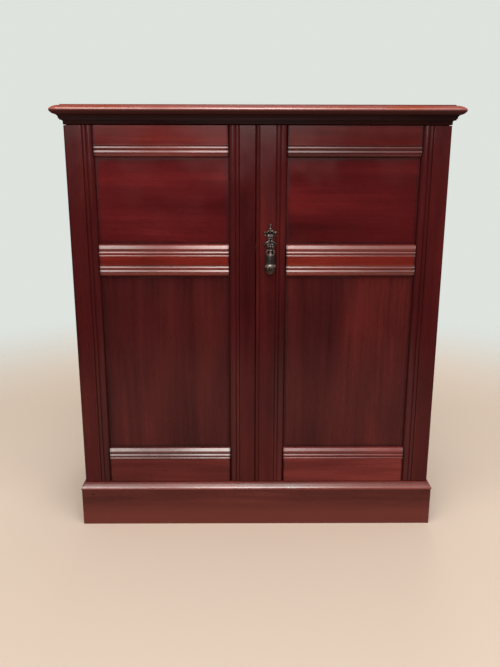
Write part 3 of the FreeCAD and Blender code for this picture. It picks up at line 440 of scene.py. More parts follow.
def dress_doors():
    seeds = itertools.count(1)
    for side, door in zip(SIDES, DOORS):
        outer = side * OUTER_SIGHT
        meeting = side * MEETING_SIGHT
        sights = sorted((outer, meeting))
        for part, sight, away in (("outer_stile", outer, side), ("meeting_stile", meeting, -side)):
            span = sorted((sight, sight + away * FAR))
            shade_and_dirt = line_recess("X", *span)
            polish = line_polish("X", *span, STILE_POLISH)
            door_board(door, part, "Z", (STILE, STILE_GLOW), next(seeds), STILE_STREAKS, shade_and_dirt, None, polish)
        for part, span in RAIL_SPANS.items():
            shade_and_dirt = rail_recess(span, sights)
            wear_and_painted_light = back_tone if part == "middle_rail" else None
            polish = line_polish("Z", *span, MOULD_POLISH * MOULD_POLISH_SHARES.get((door, part), 1.0))
            door_board(door, part, "X", RAIL_TONES[part], next(seeds), 1.0, shade_and_dirt, wear_and_painted_light, polish)
        for part, span in PANEL_SPANS.items():
            grain, *tones, streaks = PANEL_TONES[part]
            door_board(door, part, grain, tones, next(seeds), streaks, box_recess(sights, span))


# Share of painted shade and of polish by height, on the base moulding and down the top's edge
# Darkest at the foot of the nose and in the hollow's top corner: painted shade in the base moulding's
# creases
BASE_MOULD_SHADE = (
    (0.0840, 0.0), (0.0908, 0.0), (0.0917, 0.30), (0.0928, 0.20), (0.0950, 0.35), (0.0962, 1.0),
    (0.0967, 0.8), (0.0972, 0.0), (0.1000, 0.0),
)
BASE_POLISH = (
    (0.0840, 0.92), (0.0914, 0.92), (0.0926, 0.45), (0.0964, 0.35), (0.0970, 0.80), (0.1000, 0.80),
)
# The top's edge darkened below its crest: painted shade under the nose
TOP_UNDER_SHADE = ((0.8860, 1.0), (0.8920, 1.0), (0.8942, 0.75), (0.8957, 0.0), (0.9050, 0.0))
TOP_POLISH = ((0.8860, 0.03), (0.8946, 0.03), (0.8962, 1.0), (0.9029, 1.0), (0.9035, 0.22), (0.9050, 0.22))
TOP_NOSE_STEP = (0.8935, 0.8968)
TOP_ENDS_STEP = (0.3880, 0.3940, 1.0, 0.12)
# A pale pink tone painted on the top's edge as a painted sheen
NOSE_SHEEN_STEP = (0.9028, 0.9034, 0.75, 0.0)
NOSE_PAINTED_SHEEN = linear(164, 96, 88)
ORANGE_STEP = (0.9028, 0.9034, 0.95, 0.0)
ORANGE_GRAIN = (0.25, 26.0, 4.0, 0.6)
ORANGE_SEED = 4.0
ORANGE_PATCH_STEP = (0.36, 0.60)
ORANGE_MIDDLE = 0.02
ORANGE_ENDS_STEP = (0.10, 0.26, 0.15, 1.0)
WORN_ORANGE = linear(148, 64, 40)
FILLER = linear(58, 26, 22)
BARE_WOOD = linear(150, 96, 76)
SCUFF_GRAIN = (0.3, 60.0, 4.0, 0.65)
SCUFF_SEED = 9.0
SCUFF_STEP = (0.52, 0.72)
SCUFF_HEIGHT_STEP = (0.0, 0.030, 1.0, 0.0)
SCUFF_COVER = 0.6
SCUFF_TONE = 0.45
FOOT_LIGHT_STEP = (0.020, 0.066, 0.75, 0.0)
CHIP_TONE = 0.7

# Marks: centre and radius
TOP_KNOCKS = (((-0.2985, -0.2025, 0.8985), 0.0030), ((0.1510, -0.2025, 0.8970), 0.0022))
NAIL_HOLE = ((-0.3655, -0.190, 0.0732), 0.0034)
BASE_CHIP = ((0.0714, -0.1905, 0.0895), 0.0028)
MARK_SCALE = 0.9
MARK_WAVER = 0.5
MARK_REACH = 1.25
MARK_SOFT = 0.5


def by_height(stops):
    """A level read from stops of (height, level)."""
    low, high = stops[0][0], stops[-1][0]

    def level(graph, place):
        share = graph.step_straight(graph.axes(place)[2], low, high)
        scale = [((at - low) / (high - low), grey(value)) for at, value in stops]
        return graph.ramp(share, scale)
    return level


def top_polish(graph, place):
    """Bright on the front nose and worn thinner on the ends."""
    off_middle = graph.maths("ABSOLUTE", graph.axes(place)[0])
    on_end = graph.step(off_middle, *TOP_ENDS_STEP)
    return graph.product(by_height(TOP_POLISH)(graph, place), on_end)


def spot(graph, place, centre, radius, soft=MARK_SOFT):
    """One where place is within a round mark, falling to nought at its edge."""
    inputs = {0: place, 1: centre}
    away = graph.add("ShaderNodeVectorMath", inputs, operation="DISTANCE").outputs["Value"]
    wobble = graph.product(graph.noise(place, MARK_SCALE / radius), radius * MARK_WAVER)
    uneven = graph.maths("ADD", away, wobble)
    return graph.step(uneven, radius * (MARK_REACH - soft), radius * MARK_REACH, 1.0, 0.0)


def top_sheen_and_wear(graph, place, colour):
    """The edge given a pale painted sheen, and rubbed to orange toward both ends, with a few small knocks.
    """
    axes = graph.axes(place)
    # Painted sheen on the edge below the flat
    colour = graph.mix(graph.step(axes[2], *NOSE_SHEEN_STEP), colour, NOSE_PAINTED_SHEEN)
    rubbed = graph.step(graph.layer(place, "X", ORANGE_SEED, ORANGE_GRAIN), *ORANGE_PATCH_STEP)
    off_middle = graph.maths("ABSOLUTE", graph.maths("ADD", axes[0], ORANGE_MIDDLE))
    to_ends = graph.step(off_middle, *ORANGE_ENDS_STEP)
    on_nose = graph.step(axes[2], *TOP_NOSE_STEP)
    share = graph.product(rubbed, to_ends, on_nose, graph.step(axes[2], *ORANGE_STEP))
    colour = graph.mix(share, colour, WORN_ORANGE)
    for mark in TOP_KNOCKS:
        colour = graph.mix(spot(graph, place, *mark), colour, BARE_WOOD)
    return colour


def plinth_light_and_wear(graph, place, colour):
    """A filled nail hole near the left end, a foot painted paler as light from the floor, and scuffs along
    it.
    """
    colour = graph.mix(spot(graph, place, *NAIL_HOLE), colour, FILLER)
    height = graph.axes(place)[2]
    # Painted light from the floor, paler toward the foot
    colour = graph.mix(graph.step(height, *FOOT_LIGHT_STEP), colour, PLINTH_FOOT_LIT)
    scuff = graph.step(graph.layer(place, "X", SCUFF_SEED, SCUFF_GRAIN), *SCUFF_STEP)
    share = graph.product(scuff, graph.step(height, *SCUFF_HEIGHT_STEP), SCUFF_COVER)
    return graph.mix(share, colour, scaled(BARE_WOOD, SCUFF_TONE))


def moulding_wear(graph, place, colour):
    """A small chip out of the front nose."""
    return graph.mix(spot(graph, place, *BASE_CHIP), colour, scaled(BARE_WOOD, CHIP_TONE))


# Polish, painted shade, and worn marks with painted light, that differ from the plain board's
CASE_TREATMENTS = {
    "top_board": (top_polish, by_height(TOP_UNDER_SHADE), top_sheen_and_wear),
    "frieze_rail": (DULL_POLISH, None, None),
    "cornice_front": (DULL_POLISH, None, None),
    "cornice_left": (DULL_POLISH, None, None),
    "cornice_right": (DULL_POLISH, None, None),
    "plinth_front": (FLAT_POLISH, None, plinth_light_and_wear),
    "base_moulding_front": (by_height(BASE_POLISH), by_height(BASE_MOULD_SHADE), moulding_wear),
    "base_moulding_left": (by_height(BASE_POLISH), by_height(BASE_MOULD_SHADE), None),
    "base_moulding_right": (by_height(BASE_POLISH), by_height(BASE_MOULD_SHADE), None),
}
PLAIN_TREATMENT = (FLAT_POLISH, None, None)
CASE_SEED = 40
CASE_BOARDS = {
    # grain and colours
    "left_side": ("Z", CASE_SIDE, CASE_SIDE_GLOW),
    "right_side": ("Z", CASE_SIDE, CASE_SIDE_GLOW),
    "top_board": ("X", TOP, TOP_GLOW),
    "frieze_rail": ("X", FRIEZE_SHADED, FRIEZE_SHADED_GLOW),
    "cornice_front": ("X", CORNICE_SHADED, CORNICE_SHADED_GLOW),
    "cornice_left": ("Y", CORNICE_SHADED, CORNICE_SHADED_GLOW),
    "cornice_right": ("Y", CORNICE_SHADED, CORNICE_SHADED_GLOW),
    "plinth_front": ("X", PLINTH, PLINTH_GLOW),
    "plinth_left": ("Y", PLINTH, PLINTH_GLOW),
    "plinth_right": ("Y", PLINTH, PLINTH_GLOW),
    "base_moulding_front": ("X", BASE, BASE_GLOW),
    "base_moulding_left": ("Y", BASE, BASE_GLOW),
    "base_moulding_right": ("Y", BASE, BASE_GLOW),
    "closing_bead": ("Z", STILE, STILE_GLOW),
}


def dress_case():
    for seed, (name, (grain, body, glow)) in enumerate(CASE_BOARDS.items(), CASE_SEED):
        polish, recess, wear_and_painted_light = CASE_TREATMENTS.get(name, PLAIN_TREATMENT)
        material = mahogany(f"{name}_wood", grain, body, glow, seed, 1.0, recess, wear_and_painted_light, polish)
        dress(nodes[name], material)


# Deal, the pale softwood of the parts that don't show from the front

RING_PITCH = 0.0058
RING_TILT = 0.07
PITH_DEPTH = 0.028
RING_WANDER = (0.2, 5.0, 3.0, 0.6)
RING_DRIFT = 0.09
RING_UNEVEN = (0.05, 40.0, 2.0, 0.5)
RING_WAVER = 1.6
LATE_WOOD_STEP = (0.25, 0.98, 0.0, 0.75)
EARLY_TONE = linear(170, 130, 86)
LATE_TONE = linear(132, 88, 51)
DEAL_CLOUD = (0.4, 7.0, 3.0, 0.5)
DEAL_CLOUD_STEP = (0.3, 0.7, 0.0, 0.55)
DEAL_CLOUD_TONE = linear(112, 80, 52)
DEAL_FIBRE = (0.03, 700.0, 3.0, 0.5)
DEAL_FIBRE_STEP = (0.35, 0.75, 0.0, 0.35)
DEAL_FIBRE_TONE = linear(88, 60, 38)
DEAL_ROUGHNESS_STEP = (0.2, 0.8, 0.62, 0.85)
DEAL_SHINE = 0.3
DEAL_RELIEF = 0.00012
FIBRE_HEIGHT = 0.6
RING_HEIGHT = 0.4
KNOT_COLOUR = linear(74, 44, 26)
# A knot's halo is wider and paler than the knot by the same factor
KNOT_HALO = 1.7
KNOT_SOFT = 0.9
NAIL_COLOUR = linear(40, 34, 32)
NAIL_RADIUS = 0.0021
NAIL_SOFT = 0.3


def ring_count(graph, place, grain, across, seed, pith):
    """Growth rings counted out from a tilted pith, on a line that wanders."""
    axes = graph.axes(place)
    wander = graph.layer(place, grain, seed, RING_WANDER)
    drift = graph.product(graph.maths("SUBTRACT", wander, NOISE_MIDDLE), RING_DRIFT)
    sideways = graph.maths("ADD", graph.maths("SUBTRACT", axes["XYZ".index(across)], pith), drift)
    tilted = graph.maths("ADD", graph.product(axes["XYZ".index(grain)], RING_TILT), PITH_DEPTH)
    squares = graph.maths("ADD", graph.product(sideways, sideways), graph.product(tilted, tilted))
    rings = graph.maths("DIVIDE", graph.maths("SQRT", squares), RING_PITCH)
    uneven = graph.layer(place, grain, seed + 1, RING_UNEVEN)
    return graph.maths("ADD", rings, graph.product(uneven, RING_WAVER))


def deal(name, grain, across, seed, pith, knots=(), nails=()):
    """Aged softwood with growth rings, knots, nail heads and dust."""
    material, graph, shader, place = new_material(name)
    rings = ring_count(graph, place, grain, across, seed, pith)
    late = graph.step(graph.maths("FRACT", rings), *LATE_WOOD_STEP)
    fibre = graph.layer(place, grain, seed, DEAL_FIBRE)
    cloud = graph.layer(place, grain, seed, DEAL_CLOUD)
    colour = graph.mix(late, EARLY_TONE, LATE_TONE)
    colour = graph.mix(graph.step(cloud, *DEAL_CLOUD_STEP), colour, DEAL_CLOUD_TONE)
    colour = graph.mix(graph.step(fibre, *DEAL_FIBRE_STEP), colour, DEAL_FIBRE_TONE)
    for centre, size in knots:
        halo = spot(graph, place, centre, size * KNOT_HALO, KNOT_SOFT)
        colour = graph.mix(halo, colour, scaled(KNOT_COLOUR, KNOT_HALO))
        colour = graph.mix(spot(graph, place, centre, size), colour, KNOT_COLOUR)
    for centre in nails:
        colour = graph.mix(spot(graph, place, centre, NAIL_RADIUS, NAIL_SOFT), colour, NAIL_COLOUR)
    feed(graph, shader, {
        "Base Color": colour,
        "Roughness": graph.step(fibre, *DEAL_ROUGHNESS_STEP),
        "Specular IOR Level": DEAL_SHINE,
        "Normal": graph.bump(graph.total((fibre, FIBRE_HEIGHT), (late, RING_HEIGHT)), DEAL_RELIEF),
    })
    return material


DEAL_SEED = 80
DEAL_BOARDS = {
    # grain, and the way across it
    "case_bottom": ("X", "Y"), "lower_shelf": ("X", "Y"), "upper_shelf": ("X", "Y"),
    "top_front_rail": ("X", "Y"), "top_back_rail": ("X", "Y"), "plinth_back": ("X", "Z"),
    "plinth_corner_blocks": ("Z", "X"), "back_board_1": ("Z", "X"), "back_board_2": ("Z", "X"),
    "back_board_3": ("Z", "X"), "back_board_4": ("Z", "X"),
}
NAIL_HEIGHTS = (0.0925, 0.353, 0.614, 0.876)
NAIL_INSET = 0.025
BACK_FACE = 0.203
# Shares of the board's width and length, and the radius
KNOT_SHARES = ((0.31, 0.22, 0.0075), (0.68, 0.61, 0.0055), (0.45, 0.86, 0.0045))
KNOT_SEED_STEPS = (0.37, 0.29)
KNOT_NUMBER_STEP = 0.11
KNOT_SPREAD = (0.7, 0.9)
KNOT_EDGE = (0.15, 0.05)
PITH_SHARES = (0.35, 0.65)


def board_knots(low, high, seed, along, across):
    """Knots at places that differ from board to board."""
    knots = []
    for number, (aside, up, size) in enumerate(KNOT_SHARES):
        aside = aside + KNOT_SEED_STEPS[0] * seed + KNOT_NUMBER_STEP * number
        up = up + KNOT_SEED_STEPS[1] * seed
        centre = list(high)
        for axis, share, spread, edge in zip((across, along), (aside, up), KNOT_SPREAD, KNOT_EDGE):
            centre[axis] = low[axis] + (high[axis] - low[axis]) * (share % spread + edge)
        knots.append((tuple(centre), size))
    return knots


def dress_deal():
    for seed, (name, (grain, across)) in enumerate(DEAL_BOARDS.items(), DEAL_SEED):
        low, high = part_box(name)
        index = "XYZ".index(across)
        pith = low[index] + (high[index] - low[index]) * PITH_SHARES[seed % 2]
        knots = board_knots(low, high, seed, "XYZ".index(grain), index)
        nails = []
        if name.startswith("back_board"):
            for height in NAIL_HEIGHTS:
                nails += [(x, BACK_FACE, height) for x in (low[0] + NAIL_INSET, high[0] - NAIL_INSET)]
        dress(nodes[name], deal(f"{name}_wood", grain, across, seed, pith, knots, nails))


# Metals

METALS = {
    # material; colours of the body, rubbed and tarnished metal; shine, tarnish scale and relief
    "hinge_brass": (
        "aged_brass", linear(150, 118, 62), linear(196, 162, 96), linear(84, 62, 34), 0.28, 160.0, 0.000060,
    ),
    "handle_bronze": (
        "dark_bronze", linear(74, 62, 59), linear(116, 104, 101), linear(42, 35, 33), 0.22, 300.0, 0.000010,
    ),
    "screw_steel": (
        "old_steel", linear(112, 106, 100), linear(160, 156, 150), linear(70, 56, 46), 0.34, 300.0, 0.000060,
    ),
}
TARNISH_TEXTURE = (4.0, 0.65)
TARNISH_WEIGHT = 0.75
SPECK_WEIGHT = 0.25
SPECK_RATIO = 7
TARNISH_STEP = (0.3, 0.7)
WORN_STEP = (0.3, 0.75)
TARNISH_DULLING = 0.16


def metal(name, body, bright, dull, shine, tarnish_scale, relief):
    """Old metal: tarnished, rubbed brighter in patches and slightly uneven."""
    material, graph, shader, place = new_material(name)
    tarnish = graph.noise(place, tarnish_scale, *TARNISH_TEXTURE)
    speck = graph.noise(place, tarnish_scale * SPECK_RATIO)
    colour = graph.ramp(
        graph.step(graph.total((tarnish, TARNISH_WEIGHT), (speck, SPECK_WEIGHT)), *TARNISH_STEP),
        ((0.0, dull), (0.5, body), (1.0, bright)),
    )
    feed(graph, shader, {
        "Base Color": colour,
        "Metallic": 1.0,
        "Roughness": graph.step(tarnish, *WORN_STEP, shine + TARNISH_DULLING, shine),
        "Normal": graph.bump(tarnish, relief),
    })
    return material


def dress_metals():
    """Dresses every metal node and gives back the metals by slot."""
    metals = {slot: metal(*recipe) for slot, recipe in METALS.items()}
    for row in frame["record"]["subparts"]:
        if row["material_slot"] in metals:
            dress(nodes[row["node"]], metals[row["material_slot"]])
    return metals


# Cast handle: places are millimetres across, up from the pivot and out from the door face

HANDLE_X = 0.026
HANDLE_Z = 0.6275
DOOR_FACE = -0.182
MILLIMETRE = 0.001
BALL_RINGS = 12
CAST_VOXEL = 0.00032
CAST_SMOOTHING = 3
LATHE_STEPS = 72
ARM_STEPS = 9
ARM_DEPTH = 0.95


def handle_point(across, up, out):
    return Vector((HANDLE_X + across * MILLIMETRE, DOOR_FACE - out * MILLIMETRE, HANDLE_Z + up * MILLIMETRE))


class Forms:
    """Overlapping closed forms of one casting, gathered as points and faces."""

    def __init__(self):
        self.points = []
        self.faces = []

    def add(self, rings):
        """A closed skin over rings of equal length, the first and last of them capped."""
        count = len(rings[0])
        first = len(self.points)
        for ring in rings:
            self.points.extend(ring)
        for row in range(len(rings) - 1):
            for step in range(count):
                after = (step + 1) % count
                low = first + row * count
                high = low + count
                self.faces.append((low + step, low + after, high + after, high + step))
        self.faces.append(tuple(range(first + count - 1, first - 1, -1)))
        self.faces.append(tuple(range(len(self.points) - count, len(self.points))))

    def link(self, name):
        data = bpy.data.meshes.new(name)
        data.from_pydata(self.points, [], self.faces)
        piece = bpy.data.objects.new(name, data)
        bpy.context.scene.collection.objects.link(piece)
        return piece


def add_ball(forms, centre, radii):
    """A flattened ball; radii are across, up and out."""
    rings = []
    for row in range(1, BALL_RINGS):
        tilt = math.pi * row / BALL_RINGS
        ring = []
        for step in range(BALL_RINGS * 2):
            angle = math.pi * step / BALL_RINGS
            across = centre[0] + radii[0] * math.sin(tilt) * math.cos(angle)
            up = centre[1] + radii[1] * math.cos(tilt)
            out = centre[2] + radii[2] * math.sin(tilt) * math.sin(angle)
            ring.append(handle_point(across, up, out))
        rings.append(ring)
    forms.add(rings)


def add_arm(forms, stations, mirrored=True):
    """A tapering arm through (across, up, out, radius) stations, and its mirror image."""
    for side in SIDES if mirrored else (1,):
        for start, end in zip(stations, stations[1:]):
            for step in range(ARM_STEPS):
                share = step / ARM_STEPS
                across, up, out, radius = (a + (b - a) * share for a, b in zip(start, end))
                add_ball(forms, (across * side, up, out), (radius, radius, radius * ARM_DEPTH))


def add_turning(forms, stations, centre_out, flutes, flute_below, flute_depth):
    """A hanging form turned through (up, half width, half depth) stations, and fluted at its foot."""
    rings = []
    for up, wide, deep in stations:
        ring = []
        for step in range(LATHE_STEPS):
            angle = math.tau * step / LATHE_STEPS
            swell = 1.0
            if up < flute_below:
                swell += flute_depth * (abs(math.cos(angle * flutes / 2)) - 1.0)
            across = wide * swell * math.cos(angle)
            out = centre_out + deep * swell * math.sin(angle)
            ring.append(handle_point(across, up, out))
        rings.append(ring)
    forms.add(rings)


def turn_outward(data):
    """Turns every face of a closed mesh to look outward."""
    mesh = bmesh.new()
    mesh.from_mesh(data)
    bmesh.ops.recalc_face_normals(mesh, faces=mesh.faces)
    mesh.to_mesh(data)
    mesh.free()


def cast(name, forms, cutter=None):
    """One closed skin over the overlapping forms, softened as a casting is."""
    rough = forms.link(name + "_forms")
    skin = rough.modifiers.new("skin", "REMESH")
    skin.mode = "VOXEL"
    skin.voxel_size = CAST_VOXEL
    soften = rough.modifiers.new("soften", "SMOOTH")
    soften.iterations = CAST_SMOOTHING
    if cutter is not None:
        hole = rough.modifiers.new("hole", "BOOLEAN")
        hole.object = cutter
        hole.solver = "MANIFOLD"
    bpy.context.view_layer.update()
    evaluated = rough.evaluated_get(bpy.context.evaluated_depsgraph_get())
    data = bpy.data.meshes.new_from_object(evaluated)
    data.name = name
    data.materials.clear()
    data.shade_smooth()
    piece = bpy.data.objects.new(name, data)
    bpy.context.scene.collection.objects.link(piece)
    bpy.data.objects.remove(rough)
    if cutter is not None:
        bpy.data.objects.remove(cutter)
    return piece


PLATE_BALLS = (
    # centre across, up, out; radius across, up, out
    ((0, 44.0, 1.0), (3.6, 1.9, 1.7)),
    ((0, 46.0, 0.8), (1.7, 1.5, 1.3)),
    ((0, 40.6, 0.5), (1.7, 2.4, 1.2)),
    ((0, 36.6, 1.8), (4.0, 2.6, 3.0)),
    ((0, 32.6, 0.7), (2.8, 1.6, 1.4)),
    ((-10.6, 29.5, 1.8), (3.5, 2.4, 2.7)),
    ((10.6, 29.5, 1.8), (3.5, 2.4, 2.7)),
    ((0, 21.8, 1.7), (8.6, 2.6, 3.0)),
    ((-10.4, 23.2, 0.8), (2.0, 2.0, 1.5)),
    ((10.4, 23.2, 0.8), (2.0, 2.0, 1.5)),
    ((0, 14.6, 0.1), (6.6, 7.6, 1.5)),
    ((0, 4.0, 0.0), (9.8, 8.4, 1.2)),
    ((0, 0.8, 1.2), (6.4, 3.6, 3.6)),
    ((0, -3.4, 1.0), (3.6, 4.4, 2.9)),
    ((0, -8.0, 0.4), (1.6, 2.6, 1.5)),
)
PLATE_ARMS = (
    # across, up, out, radius
    ((0.0, 33.0, 0.7, 1.2), (4.6, 32.2, 0.9, 1.4), (6.4, 28.6, 1.0, 1.5), (4.8, 24.6, 0.9, 1.4),
     (0.0, 23.6, 0.9, 1.4)),
    ((5.0, 29.6, 0.8, 1.3), (9.4, 29.6, 1.2, 1.6)),
    ((10.8, 28.2, 0.8, 1.3), (10.6, 25.4, 0.8, 1.3), (9.4, 23.6, 0.8, 1.3)),
    ((0.4, 11.8, 2.0, 1.8), (4.2, 10.8, 2.4, 2.3), (8.0, 8.4, 2.4, 2.5), (11.2, 5.2, 1.9, 2.1),
     (11.4, 2.6, 1.2, 1.4)),
    ((5.4, 4.0, 0.4, 1.2), (6.0, -1.6, 0.4, 1.4), (3.0, -6.0, 0.4, 1.2)),
)
PLATE_SPINE = ((0, 45, 0.4, 1.2), (0, 20, 0.4, 1.9), (0, -7, 0.4, 2.0))
KEYHOLE_UP = 15.5
KEYHOLE_RADIUS = 1.9
KEYHOLE_HALF_SLOT = 1.1
KEYHOLE_FALL = 7.0
KEYHOLE_STEPS = 20
CUT_DEPTHS = (-3.0, 8.0)


def keyhole_cutter():
    """A round eye over a slot, long enough to pass through the plate."""
    forms = Forms()
    half = math.asin(KEYHOLE_HALF_SLOT / KEYHOLE_RADIUS)
    foot = KEYHOLE_UP - KEYHOLE_FALL
    outline = [(-KEYHOLE_HALF_SLOT, foot), (KEYHOLE_HALF_SLOT, foot)]
    for step in range(KEYHOLE_STEPS + 1):
        angle = -math.pi / 2 + half + (math.tau - 2 * half) * step / KEYHOLE_STEPS
        outline.append((KEYHOLE_RADIUS * math.cos(angle), KEYHOLE_UP + KEYHOLE_RADIUS * math.sin(angle)))
    forms.add([[handle_point(across, up, out) for across, up in outline] for out in CUT_DEPTHS])
    cutter = forms.link("keyhole_cutter")
    turn_outward(cutter.data)
    return cutter


DROP_OUT = 7.0
DROP_STATIONS = (
    # up, half width, half depth
    (-8.6, 3.0, 1.9), (-11.0, 3.4, 2.4), (-13.6, 5.0, 3.4), (-15.4, 7.6, 4.2), (-17.2, 8.5, 4.7),
    (-21.0, 9.0, 4.7), (-26.0, 9.5, 4.6), (-31.0, 10.1, 4.4), (-35.2, 10.8, 4.3), (-36.6, 11.2, 4.6),
    (-38.6, 11.9, 5.6), (-40.6, 12.3, 6.5), (-42.2, 12.3, 6.7), (-43.4, 11.8, 6.3), (-44.4, 10.8, 5.5),
    (-45.4, 10.4, 5.2), (-47.6, 10.0, 5.0), (-50.0, 9.0, 4.7), (-53.0, 6.9, 4.0), (-55.6, 4.3, 2.9),
    (-57.0, 2.3, 1.7), (-57.5, 0.8, 0.6),
)
DROP_ARMS = (
    ((4.75, 0.0, 7.0, 2.3), (5.0, -4.0, 7.0, 2.2), (6.6, -8.0, 7.2, 2.3), (8.2, -11.4, 7.4, 2.5),
     (8.0, -14.0, 7.2, 2.2), (5.4, -15.0, 7.0, 1.6)),
    ((4.6, -5.6, 7.0, 1.7), (0.0, -7.0, 7.0, 1.7)),
)
DROP_POINT = ((0.0, -41.4, 12.4, 2.6), (0.0, -46.5, 12.0, 2.1), (0.0, -51.5, 10.8, 1.2))
POST_BALLS = (((0, 0.4, 7.2), (3.35, 4.1, 3.5)), ((0, -1.6, 8.6), (2.3, 3.0, 2.2)))
POST_NECK = ((0.0, 0.0, -6.0, 2.7), (0.0, 0.0, 5.5, 2.9))
DROP_FLUTES = (14, -43.5, 0.07)
DROP_EYE_ASIDE = 4.75
DROP_EYE_THICKNESS = 2.3
DROP_EYE_RADIUS = 2.7
DROP_EYE_SHARES = (-0.3, 0.0, 0.3)
DROP_EYE_RATIO = 3.4


def hang(piece, node, body, material):
    """Makes a scene piece stand for a CAD node and move with its body."""
    dress(piece, material)
    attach(piece, body)
    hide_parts(node)


def cut_at_door(piece):
    """Cuts a casting off flat where it meets the door's face."""
    flat = bmesh.new()
    flat.from_mesh(piece.data)
    whole = flat.verts[:] + flat.edges[:] + flat.faces[:]
    made = bmesh.ops.bisect_plane(
        flat, geom=whole, plane_co=(0.0, DOOR_FACE, 0.0), plane_no=(0.0, 1.0, 0.0), clear_outer=True
    )
    rim = [item for item in made["geom_cut"] if isinstance(item, bmesh.types.BMEdge)]
    bmesh.ops.holes_fill(flat, edges=rim)
    flat.to_mesh(piece.data)
    flat.free()


def make_handle(bronze):
    plate = Forms()
    for centre, radii in PLATE_BALLS:
        add_ball(plate, centre, radii)
    for arm in PLATE_ARMS:
        add_arm(plate, arm)
    add_arm(plate, PLATE_SPINE, False)
    cast_plate = cast("handle_plate_casting", plate, keyhole_cutter())
    cut_at_door(cast_plate)
    hang(cast_plate, "handle_backplate", "right_door", bronze)
    post = Forms()
    for centre, radii in POST_BALLS:
        add_ball(post, centre, radii)
    add_arm(post, POST_NECK, False)
    hang(cast("handle_post_casting", post), "handle_post", "right_door", bronze)
    drop = Forms()
    for arm in DROP_ARMS:
        add_arm(drop, arm)
    eye_radii = (DROP_EYE_THICKNESS / DROP_EYE_RATIO, DROP_EYE_RADIUS, DROP_EYE_RADIUS)
    for side in SIDES:
        for share in DROP_EYE_SHARES:
            across = side * DROP_EYE_ASIDE + share * DROP_EYE_THICKNESS
            add_ball(drop, (across, 0.0, DROP_OUT), eye_radii)
    add_turning(drop, DROP_STATIONS, DROP_OUT, *DROP_FLUTES)
    add_arm(drop, DROP_POINT, False)
    hang(cast("handle_drop_casting", drop), "handle_drop", "handle_drop", bronze)


# Screws, with a slot cut in every head

SLOT_WIDTH = 0.0009
SLOT_DEPTH = 0.0007
SLOT_OVERSHOOT = 1.3
SLOT_FIRST_TURN = 0.7
SLOT_NEXT_TURN = 1.9
WELD = 0.000002
RIM_WELDS = 10
SLOTTED = {
    # CAD node: body it moves with, way each head faces
    "case_hinge_screws": ("case", Vector((0.0, -1.0, 0.0))),
    "left_door_screws": ("left_door", Vector((0.0, 1.0, 0.0))),
    "right_door_screws": ("right_door", Vector((0.0, 1.0, 0.0))),
    "top_screws": ("case", Vector((0.0, 0.0, -1.0))),
}


def islands(mesh):
    """Lists of the points that hang together."""
    left = set(mesh.verts)
    while left:
        start = left.pop()
        found = [start]
        waiting = [start]
        while waiting:
            point = waiting.pop()
            for edge in point.link_edges:
                other = edge.other_vert(point)
                if other in left:
                    left.discard(other)
                    found.append(other)
                    waiting.append(other)
        yield found


def add_slot(forms, centre, radius, face, angle):
    """A square-edged cutter laid across one screw head."""
    first = face.orthogonal().normalized()
    along = Matrix.Rotation(angle, 3, face) @ first
    across = face.cross(along)
    rings = []
    for depth in (-SLOT_DEPTH, SLOT_DEPTH):
        ring = []
        for side, end in SQUARE:
            length = along * (end * radius * SLOT_OVERSHOOT)
            ring.append(centre + face * depth + across * (side * SLOT_WIDTH / 2) + length)
        rings.append(ring)
    forms.add(rings)


def slot_screws(name, body, face, steel):
    """Stands for a node of screws with a copy whose heads are slotted, each at its own angle."""
    source = nodes[name]
    welded = bmesh.new()
    welded.from_mesh(source.data)
    welded.transform(source.matrix_world)
    bmesh.ops.remove_doubles(welded, verts=welded.verts, dist=WELD)
    slots = Forms()
    for number, points in enumerate(islands(welded)):
        front = max(point.co.dot(face) for point in points)
        rim = [point.co.copy() for point in points if point.co.dot(face) > front - WELD * RIM_WELDS]
        centre = sum(rim, Vector()) / len(rim)
        radius = max((corner - centre).length for corner in rim)
        add_slot(slots, centre, radius, face, SLOT_FIRST_TURN + SLOT_NEXT_TURN * number)
    data = bpy.data.meshes.new(name + "_whole")
    welded.to_mesh(data)
    welded.free()
    rough = bpy.data.objects.new(name + "_whole", data)
    bpy.context.scene.collection.objects.link(rough)
    cutter = slots.link(name + "_slots")
    turn_outward(cutter.data)
    hole = rough.modifiers.new("hole", "BOOLEAN")
    hole.object = cutter
    hole.solver = "EXACT"
    bpy.context.view_layer.update()
    made = bpy.data.meshes.new_from_object(rough.evaluated_get(bpy.context.evaluated_depsgraph_get()))
    made.name = name + "_slotted"
    made.materials.clear()
    made.shade_flat()
    piece = bpy.data.objects.new(name + "_slotted", made)
    bpy.context.scene.collection.objects.link(piece)
    bpy.data.objects.remove(rough)
    bpy.data.objects.remove(cutter)
    hang(piece, name, body, steel)


def make_screws(steel):
    for name, (body, face) in SLOTTED.items():
        slot_screws(name, body, face, steel)


# Stage: floor, world, lights and camera

BACKDROP = linear(222, 227, 222)
FLOOR = linear(226, 204, 186)
FLOOR_HALF = 12.0
FLOOR_FADE_START = 0.9
FLOOR_FADE_END = 2.1


